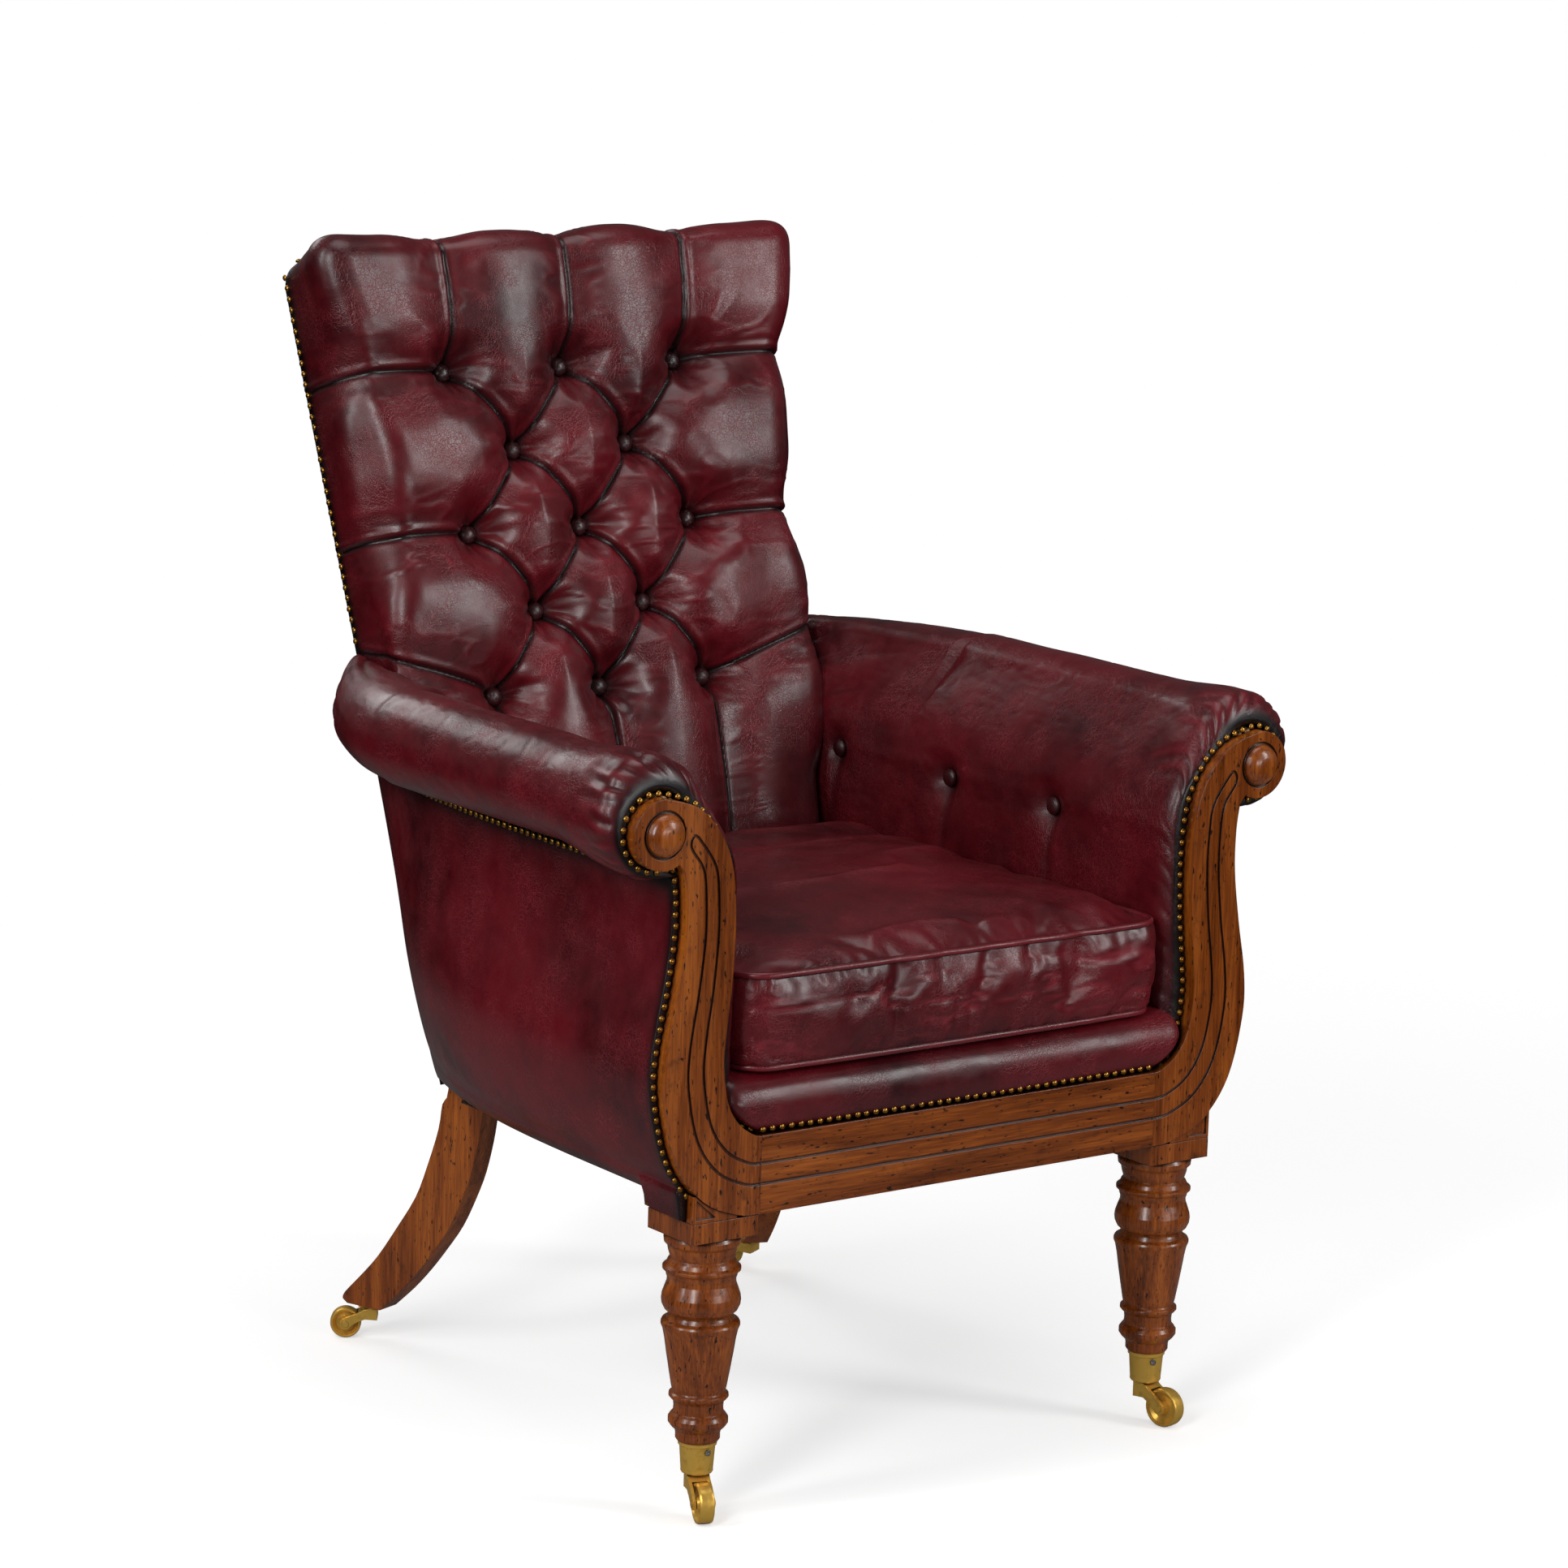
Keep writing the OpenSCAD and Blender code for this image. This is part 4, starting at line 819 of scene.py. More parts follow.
def panel_x(front_x: Any, z: Any, y: Any) -> Any:
    """Returns how far out an arm's side panel stands, which turns in from its front outline to the back.

    Args:
        front_x: The panel's place in the front outline at that height.
        z: Height above the floor.
        y: Depth behind the facing's front.

    Returns:
        The distance from the chair's middle.
    """
    run = BACK.rear_y(z) - PANEL_FRONT
    share = np.clip((y - PANEL_FRONT) / run, 0, 1)
    rounded = PANEL_ROUND * ease((share * run - run + PANEL_ROUND_RUN) / PANEL_ROUND_RUN) ** 2
    return mix(BACK.side_x(z), front_x, 1 - share**PANEL_TURN) - rounded


# The buttoned back ---------------------------------------------------------------------------


@dataclass(frozen=True)
class Pleat:
    """A fold of the leather between two places on the back."""

    start: tuple[float, float]
    end: tuple[float, float]
    deep: float
    middle: float
    tail: float
    lip_side: float
    bow: float = 0.0


@dataclass
class ButtonedBack:
    """The deep-buttoned back: diamonds between covered buttons, and pleats to the top, sides and seat."""

    shop: Upholstery
    depth: float = 80.0
    rear: float = 2.8
    low_u: float = 150.0
    pitch: float = 124.0
    row_pitch: float = 72.5
    row_drop: float = 104.0
    row_count: int = 5
    narrowing: float = 0.09
    pit: float = 40.0
    valley_r: float = 47.0
    side_round: float = 36.0
    top_round: float = 32.0
    roundness: float = 2.7
    doming: float = 5.0
    upright_w: float = 42.0
    crest: float = 19.0
    wall: float = 0.6
    step: float = 2.0
    button_r: float = 8.5
    bulge_u: float = 600.0
    shaded_below_u: float = 290.0
    front_half: tuple[tuple[float, float], ...] = (
        (150, 206), (250, 214), (300, 236), (402, 238), (452, 229),
        (513, 223), (580, 229), (641, 240), (700, 256), (738, 263),
    )

    def row_u(self, row: int) -> float:
        """Returns a button row's height along the rake."""
        return BACK.length - self.row_drop - row * self.row_pitch

    def row_spread(self, u: float) -> float:
        """Returns the distance between neighbours of a row."""
        down = (self.row_u(0) - u) / (self.row_pitch * (self.row_count - 1))
        return self.pitch * (1 - self.narrowing * min(max(down, 0.0), 1.0))

    def row(self, row: int) -> list[tuple[float, float]]:
        """Returns a row's buttons: three in even rows, two in odd ones."""
        u = self.row_u(row)
        p = self.row_spread(u)
        return [(-p, u), (0.0, u), (p, u)] if row % 2 == 0 else [(-p / 2, u), (p / 2, u)]

    def buttons(self) -> list[tuple[float, float]]:
        """Returns every button's place."""
        return [b for r in range(self.row_count) for b in self.row(r)]

    def pleats(self) -> list[Pleat]:
        """Returns every fold between the buttons and from them to the edges."""
        folds = []
        for r in range(self.row_count - 1):
            for a in self.row(r):
                for b in self.row(r + 1):
                    if abs(a[0] - b[0]) < 0.7 * self.pitch:
                        folds.append(Pleat(a, b, 34.0, 17.5, 34.0, 1.0, 3.0))
        for r, rise in ((0, -8.0), (2, -8.0), (4, 52.0)):
            u = self.row_u(r)
            for side in (-1, 1):
                far = side * (BACK.half(u) + 74.0)
                folds.append(Pleat((side * self.row_spread(u), u), (far, u + rise), 30.0, 8.0, 2.5, 1.0, 4.0))
        for k in (-1, 0, 1):
            x = k * self.pitch
            folds.append(Pleat((x, self.row_u(0)), (x * 1.04, BACK.length + 50.0), 30.0, 6.0, 1.5, -k or 1.0))
            u = self.row_u(self.row_count - 1)
            p = self.row_spread(u)
            folds.append(Pleat((k * p, u), (k * p * 0.9, 60.0), 30.0, 14.0, 10.0, -k or 1.0))
        return folds

    def base(self) -> tuple[Array, Array, Array, Array]:
        """Lays out the plain stuffed shape: a slab with rounded sides and top.

        Returns:
            Its local points, the distances across and up its surface, and how far round an edge each is.
        """
        n = self.roundness
        thick = self.depth - self.rear

        def edge(radius: float) -> Array:
            """Returns even steps round an edge, as powers of the share of its rounding."""
            angle = np.linspace(0, math.pi / 2, 1500)
            a = np.sin(angle) ** 2
            line = np.stack([radius * a ** (1 / n), thick * (1 - a) ** (1 / n)], axis=1)
            length = run_lengths(line)
            return np.interp(np.linspace(0, length[-1], round(length[-1] / self.step) + 1), length, a)

        side = edge(self.side_round)[1:]
        top = edge(self.top_round)[1:]
        middle = np.linspace(-1, 1, round(2 * BACK.half_top / self.step * 0.9))
        flat_rows = np.arange(self.low_u, BACK.top - self.top_round, self.step)
        a = np.concatenate([side[::-1], np.zeros(len(middle)), side])[None, :]
        b = np.concatenate([np.zeros(len(flat_rows)), top])[:, None]
        way = np.concatenate([-np.ones(len(side)), middle, np.ones(len(side))])[None, :]
        u = np.concatenate([flat_rows, np.full(len(top), BACK.top - self.top_round)])[:, None]
        u = u + self.top_round * (b * (1 - a / 2)) ** (1 / n)
        w = self.rear + thick * ((1 - a) * (1 - b)) ** (1 / n)
        fronts = np.asarray(self.front_half)
        front_half = np.interp(u, fronts[:, 0], fronts[:, 1])
        half = mix(BACK.half(u) + self.wall, front_half, ease((w - self.upright_w) / 30))
        x = way * (half - self.side_round + self.side_round * (a * (1 - b / 2)) ** (1 / n))
        u = u + self.crest * w / self.depth * ease((u - self.bulge_u) / 140)
        local = np.stack([x, w, u], axis=-1)
        across = run_lengths(local, axis=1)
        across -= across[:, across.shape[1] // 2][:, None]
        up = run_lengths(local, axis=0) + self.low_u
        up = np.broadcast_to(up[:, up.shape[1] // 2][:, None], up.shape)
        return local, across, up, np.broadcast_to(np.maximum(a, b), up.shape)

    def fold(self, across: Array, up: Array) -> tuple[Array, Array, Array]:
        """Works out how deep the leather is drawn in.

        Args:
            across: Distance across the surface from the middle.
            up: Distance up the surface.

        Returns:
            The broad depth, the fine relief of seams and lips, and the distance to the nearest fold.
        """
        power = 5
        total = np.zeros_like(across)
        fine = np.zeros_like(across)
        nearest = np.full_like(across, 1e3)
        for f in self.pleats():
            run = np.subtract(f.end, f.start)
            length = float(np.hypot(*run))
            dx, dy = across - f.start[0], up - f.start[1]
            t = np.clip((dx * run[0] + dy * run[1]) / length**2, 0, 1)
            side = (-run[1] * dx + run[0] * dy) / length
            side = side * (math.copysign(1.0, run[0]) if abs(run[1]) < abs(run[0]) * 2 else f.lip_side)
            side = side - f.bow * 4 * t * (1 - t)
            off_end = np.hypot(dx - t * run[0], dy - t * run[1])
            distance = np.hypot(side, np.where((t <= 0) | (t >= 1), off_end, 0))
            depth = np.where(
                t < 0.5,
                mix(f.middle, f.deep, np.abs(1 - 2 * t) ** 2.1),
                mix(f.middle, f.tail, np.abs(2 * t - 1) ** 2.1),
            )
            s = np.clip(distance / self.valley_r, 0, 1)
            total += (depth * (0.62 * (1 - s) ** 2 + 0.38 * (1 - quarter(s)))) ** power
            inside = ease(t * 12) * ease((1 - t) * 12)
            fine -= inside * 2.0 * bell(side / 1.5)
            fine += inside * 1.7 * bell((side - 5.0) / 3.0)
            nearest = np.minimum(nearest, distance)
        for bx, bu in self.buttons():
            d = np.hypot(across - bx, up - bu)
            total += (self.pit * (1 - np.clip((d - 7) / self.valley_r, 0, 1)) ** 2) ** power
            turn = np.arctan2(up - bu, across - bx)
            pucker = ease((d - 9) / 6) * bell((d - 12) / 14)
            fine += 0.9 * pucker * np.cos(9 * turn + bx * 0.1 + bu * 0.07)
        depth = np.minimum(total ** (1 / power), self.pit + 1.0)
        return depth, fine, nearest

    def build(self) -> None:
        """Makes the back and its buttons."""
        local, across, up, edge = self.base()
        depth, fine, nearest = self.fold(across, up)
        noise = self.shop.noise
        flat = np.stack([across, up, np.zeros_like(up)], axis=-1)
        over_top = ease((up - BACK.length + 70) / 60)
        # the sides lie on the frame's uprights and hold only fine seams
        front = ease((local[..., 1] - 10) / 48)
        fullness = 2.4 * noise.at(flat, 62.0) * ease(nearest / 30) + self.doming * ease(nearest / 58)
        fullness += (2.5 - 0.4 * self.doming) * over_top * ease(nearest / 40)
        drape = noise.at(flat + 9 * noise.at(flat + 40, 50.0)[..., None], (46.0, 15.0, 20.0), 2)
        drape = 0.9 * np.clip(1 - 3 * np.abs(drape), 0, 1) * bell((nearest - 20) / 16)
        skin = Skin(BACK.placed(local), (0, -1, 0.3))
        skin.push(-depth * mix(1.0, 0.45, ease(edge * 1.2)) * front)
        skin.push(fine * mix(0.6, 1.0, front) + (fullness + drape) * front)
        gap = across[:, -1:] - np.abs(across)
        # painted shade: in the folds and pits, towards the nailed side edges, and low on the back near the
        # seat
        skin.paint_shade(0.92 * bell(nearest / 1.6) + 0.4 * bell(nearest / 15))
        skin.paint_shade(0.85 * ease((depth - 26) / 14))
        skin.paint_shade(0.9 * bell(gap / 9.0) + 0.35 * ease((70 - gap) / 60))
        skin.paint_shade(0.4 * ease((self.shaded_below_u - up) / 60))
        # rubbed wear and painted highlight on the lips beside the folds and on the drape's ridges
        skin.rub(0.5 * bell((nearest - 7) / 3) + 0.35 * drape)
        rows, cols = across.shape
        rim = [k * cols for k in range(rows)] + [(rows - 1) * cols + k for k in range(1, cols)]
        rim += [k * cols + cols - 1 for k in range(rows - 2, -1, -1)]
        piece = skin.make("back_leather", [rim, list(range(cols))[::-1]])
        self.shop.dress(piece)
        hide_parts("back_pad")
        self.cover_buttons()

    def cover_buttons(self) -> None:
        """Makes the covered buttons in their pits."""
        r = self.button_r
        angle = np.radians(np.arange(-40, 90, 11))
        profile = np.stack([r * np.cos(angle), r * 0.35 + r * 0.62 * np.sin(angle)], axis=1)
        places = np.array([[x, self.depth - self.pit - 1.0, u] for x, u in self.buttons()])
        aims = BACK.placed(places + [0, 1, 0]) - BACK.placed(places)
        # the heads take painted shade, as they sit deep in their pits
        piece = turned_spots("back_button_heads", BACK.placed(places), aims, profile, 28, 0.72)
        self.shop.dress(piece)
        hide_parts("back_buttons")


# Arms ----------------------------------------------------------------------------------------


@dataclass
class PaddedArm:
    """A padded arm: inner face, thick roll round the scroll, gathers at both ends of the roll."""

    shop: Upholstery
    side: int
    label: str
    seed: int
    front: float = PANEL_FRONT
    corner_y: float = 376.0
    corner_l: float = 186.0
    corner_power: float = 1.65
    end_y: float = 495.0
    low: float = 336.0
    seam_z: float = SEAM_Z
    seat_front: float = 222.0
    seat_rear: float = 212.0
    seat_z: float = 420.0
    roll_x: float = 306.0
    roll_z: float = 594.0
    roll_r: float = 42.0
    puff_r: float = 51.0
    tight_r: float = 35.3
    strip: float = 6.0
    shoulder_z: float = 564.0
    dimple: float = 9.0
    button_r: float = 8.5
    button_z: float = 521.0
    button_shares: tuple[float, ...] = (0.36, 0.655, 0.985)
    cols: int = 190

    def seat_half(self, y: float) -> float:
        """Returns how far out the inner face stands at a depth."""
        return mix(self.seat_front, self.seat_rear, min(max(y / self.end_y, 0.0), 1.0))

    def button_y(self) -> list[float]:
        """Returns the depths of the arm's buttons."""
        return [s * (self.end_y - self.button_r) for s in self.button_shares]

    def stations(self) -> list[tuple[float, float, float]]:
        """Returns each section's depth, share of the nailed strip and turn of the rear corner."""
        strip = [(self.front + 0.5, 0.0, 0.0), (self.front + 0.2, 0.45, 0.0), (self.front, 0.92, 0.0)]
        near = [0.15, 0.6, 1.3, 2.2, 3.4, 4.8, 6.4, 8.2, 10.2, 12.4, 14.8, 17.4, 20.0, 23.0]
        far = np.arange(26.0, self.corner_y - self.front, 3.0)
        along = [(self.front + d, 1.0, 0.0) for d in [*near, *far]]
        angles = np.arange(0, 90.1, 1.5)
        turn = [(self.corner_y + self.corner_l * math.sin(math.radians(a)), 1.0, a) for a in angles]
        return strip + along + turn

    def section(self, y: float, strip: float, turn: float) -> Array:
        """Lays out one section of the arm.

        Args:
            y: The section's depth.
            strip: Share of the nailed strip that it stands out from the facing.
            turn: Degrees round the rear corner.

        Returns:
            Its points, x, y and z, from the foot of the inner face to the seam under the roll.
        """
        d = y - self.front
        full = float(quarter(d / 20))
        settle = float(ease((d - 22) / 92))
        tight = mix(FACING.scroll_r - 3, self.tight_r, strip)
        r = mix(mix(tight, self.puff_r, full), self.roll_r, settle)
        cz = mix(FACING.scroll_z, self.roll_z, 0.72 * full + 0.28 * float(ease(d / 120)))
        pull = math.cos(math.radians(turn))
        sag = (1 - pull) * self.roll_r / 4
        z = mix(self.low, self.seam_z, np.array([0, 0.1, 0.2, 0.32, 0.44, 0.56, 0.68, 0.78, 0.88, 0.97]))
        wood = FACING.inner_x(z) - mix(-3.0, self.strip, strip)
        set_in = full * ease((z - self.low + 12) / 46)
        face = np.stack([mix(wood, self.seat_half(y), set_in), z], axis=1)
        shoulder_wood = float(FACING.inner_x(self.shoulder_z)) - mix(-3.0, self.strip, strip)
        shoulder = [[mix(shoulder_wood, self.seat_half(y) + self.dimple, full), self.shoulder_z]]
        angle = np.radians(np.arange(150, -86, -19.5))
        sags = np.where(angle > 0, sag, -sag / 2)
        roll = np.stack([self.roll_x + r * np.cos(angle), cz + r * np.sin(angle) - sags], axis=1)
        seam_x = float(FACING.outer_x(self.seam_z)) + mix(-2.0, 1.4, strip)
        line = resample(spline(np.vstack([face, shoulder, roll, [[seam_x, self.seam_z + 1]]]), 8), self.cols)
        if turn:
            line[:, 0] = self.draw_in(line[:, 0], seam_x, y, turn)
        lean = math.sin(math.radians(turn)) * math.tan(BACK.rake) * (line[:, 1] - self.seam_z)
        return np.stack([line[:, 0], y + lean, line[:, 1]], axis=1)

    def draw_in(self, x: Array, seam_x: float, y: float, turn: float) -> Array:
        """Draws a section in towards the back's side, where the roll ends."""
        base = self.seat_rear + self.dimple / 4
        out = self.roll_x + self.roll_r
        seam_now = float(panel_x(seam_x, self.seam_z, y)) + 1.4
        share = (1 - math.sin(math.radians(turn)) ** self.corner_power) ** (1 / self.corner_power)
        out_now = max(mix(float(BACK.side_x(self.seam_z)) + 3, out, share), seam_now + 0.5)
        inside = mix(base, seam_now, (x - base) / (seam_x - base))
        outside = mix(seam_now, out_now, (x - seam_x) / (out - seam_x))
        return np.where(x <= base, x, np.where(x <= seam_x, inside, outside))

    def build(self) -> None:
        """Makes the arm and its buttons."""
        stations = self.stations()
        grid = np.stack([self.section(*s) for s in stations])
        y = np.array([s[0] for s in stations])[:, None]
        turn = np.array([s[2] for s in stations])[:, None]
        skin = Skin(grid, (-1, 0, 0))
        skin.sign = 1.0 if skin.normals()[60, 40][0] < 0 else -1.0
        length = run_lengths(grid, axis=1)
        share = length / length[:, -1:]
        d = y - self.front
        self.gather(skin, share, length, d, turn)
        self.sink_buttons(skin)
        noise = self.shop.noise
        slow = noise.at(skin.points + self.seed * 37, (70.0, 90.0, 60.0), 2)
        fine = noise.at(skin.points + self.seed * 11, (7.0, 24.0, 10.0), 2)
        skin.push(1.3 * slow * ease(d / 30) - 0.4 * np.clip(1 - 5 * np.abs(fine), 0, 1) * ease(d / 16))
        # painted shade: at the front edge by the facing, at the seam under the roll, round the rear corner
        # and low on the inner face by the cushion
        skin.paint_shade(0.9 * bell(d / 1.6) + 0.25 * bell(d / 8))
        skin.paint_shade(0.85 * bell((length[:, -1:] - length) / 8))
        skin.paint_shade(0.5 * ease((turn - 62) / 28))
        inner = share < 0.5
        skin.paint_shade(inner * 0.65 * ease((self.seat_z - skin.points[..., 2]) / 60))
        skin.points[..., 0] *= self.side
        skin.sign *= self.side
        piece = skin.make(f"arm_leather_{self.label}")
        self.shop.dress(piece)
        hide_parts(f"arm_pad_{self.label}")

    def gather(self, skin: Skin, share: Array, length: Array, d: Array, turn: Array) -> None:
        """Presses the gathers in, round the scroll at the front and round the roll's rear end, with painted
        shade in their grooves and, beside the front ones, rubbed wear with painted highlight.

        Args:
            skin: The arm's surface.
            share: Share of the way along each section.
            length: Distance along each section.
            d: Distance behind the front edge.
            turn: Degrees round the rear corner.
        """
        rng = np.random.default_rng(self.seed)
        whole = length[:, -1:]
        for place in np.linspace(0.47, 0.97, 17):
            at = place + rng.uniform(-0.01, 0.01)
            reach = rng.uniform(12, 40)
            sink = rng.uniform(0.6, 2.6)
            width = mix(2.4, 6.5, ease(d / 40))
            slant = rng.uniform(-0.0006, 0.0006) * d
            line = bell((share - at - slant) * whole / width)
            hold = ease((d - 0.5) / 5) * (1 - ease((d - reach) / 20))
            skin.push(-sink * line * hold)
            # painted shade in the groove; rubbed wear and painted highlight 6 mm beside it
            skin.paint_shade(0.4 * line * hold * min(sink / 2.6, 1))
            skin.rub(0.4 * bell(((share - at - slant) * whole - 6) / 3) * hold)
        for place in np.linspace(0.5, 0.96, 13):
            at = place + rng.uniform(-0.012, 0.012)
            sink = rng.uniform(0.5, 1.8)
            line = bell((share - at) * whole / rng.uniform(3.0, 5.0))
            hold = ease((turn - rng.uniform(8, 30)) / 30)
            skin.push(-sink * line * hold)
            # painted shade in the groove
            skin.paint_shade(0.3 * line * hold)
        for place in np.linspace(0.06, 0.4, 9):
            line = bell((share - place - rng.uniform(-0.015, 0.015)) * whole / 4.0)
            hold = ease(d / 4) * (1 - ease((d - rng.uniform(6, 16)) / 12))
            skin.push(-rng.uniform(0.4, 1.2) * line * hold)

    def sink_buttons(self, skin: Skin) -> None:
        """Presses the arm's buttons into its inner face and makes them."""
        inside = ease((262 - skin.points[..., 0]) / 16) * (skin.points[..., 2] < self.shoulder_z + 20)
        for y in self.button_y():
            dy, dz = skin.points[..., 1] - y, skin.points[..., 2] - self.button_z
            far = np.hypot(dy, dz)
            sink = self.dimple * np.exp(-3 * (far / 34) ** 2) + 3.0 * bell(far / 11)
            below = ease(-dz / 14) * (1 - ease((-dz - 46) / 50))
            fold = bell((dy + 5 - dz * -0.07) / 6) * below
            skin.points[..., 0] += inside * (sink + 2.2 * fold)
            # painted shade in each dimple and in the fold below it
            skin.paint_shade(inside * (0.8 * bell(far / 12) + 0.35 * fold))
        r = self.button_r
        angle = np.radians(np.arange(-35, 90, 12))
        profile = np.stack([r * np.cos(angle), r * 0.12 + r * 0.5 * np.sin(angle)], axis=1)
        spots = np.array([
            [self.side * (self.seat_half(y) + self.dimple * 0.98), y, self.button_z] for y in self.button_y()
        ])
        aims = np.tile([[-float(self.side), 0.0, 0.0]], (len(spots), 1))
        # the heads take painted shade, as they sit in their dimples
        piece = turned_spots(f"arm_button_heads_{self.label}", spots, aims, profile, 28, 0.72)
        self.shop.dress(piece)
        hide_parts("arm_buttons")


# Seat ----------------------------------------------------------------------------------------


@dataclass
class FrontRoll:
    """The stuffed front roll over the rail and the deck behind it."""

    shop: Upholstery
    rail_top: float = 323.3
    deck_z: float = 372.0
    half: float = 214.0
    between: tuple[float, float] = (238.0, 212.0)
    end_y: float = 26.0
    end_z: float = 347.0
    end_share: float = 0.035
    bow: float = 1.6
    profile: tuple[tuple[float, float], ...] = (
        (0.0, 0.2), (0.06, 0.09), (0.2, 0.01), (0.42, -0.03), (0.62, 0.0), (0.8, 0.1),
        (0.93, 0.28), (1.0, 0.56), (1.015, 1.1), (1.0, 2.2), (1.0, 5.0), (1.0, 9.4),
    )

    def build(self) -> None:
        """Makes the roll with its deck."""
        height = self.deck_z - self.rail_top
        curve = resample(spline(np.asarray(self.profile) * height, 10), 260)
        z = self.rail_top + curve[:, 0]
        y = curve[:, 1]
        end = 1 - self.end_share * np.linspace(1, 0, 22) ** 1.6
        way = np.concatenate([-end[::-1], np.linspace(-end[0], end[0], 180)[1:-1], end])
        half = np.where(y < 60, FACING.inner_x(np.clip(z, 323, self.deck_z)) - 1.5, self.half)
        half = np.minimum(half, mix(*self.between, ease((y - 20) / 60)))
        close = 1 - quarter((1 - np.abs(way)) / 0.05)[:, None]
        front = ease((70 - y) / 30)[None, :]
        yy = y[None, :] + self.bow * way[:, None] ** 2
        yy = mix(yy, self.end_y, 0.42 * close * front)
        zz = mix(z[None, :], self.end_z, 0.3 * close * front)
        x = way[:, None] * half[None, :]
        skin = Skin(np.stack([x, yy, zz], axis=-1), (0, -1, 0))
        skin.sign = 1.0 if skin.normals()[100, 60][1] < 0 else -1.0
        noise = self.shop.noise
        skin.push(0.8 * noise.at(skin.points, (55.0, 30.0, 22.0), 2) * front)
        # painted shade: in the crease along the rail's top, at the pinched ends and under the cushion's front
        skin.paint_shade(0.95 * bell((zz - self.rail_top + 1) / 5.5) * (yy < 30))
        skin.paint_shade(0.8 * close)
        skin.paint_shade(0.85 * ease((yy - 34) / 40))
        piece = skin.make("seat_leather")
        self.shop.dress(piece)
        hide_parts("seat_deck")


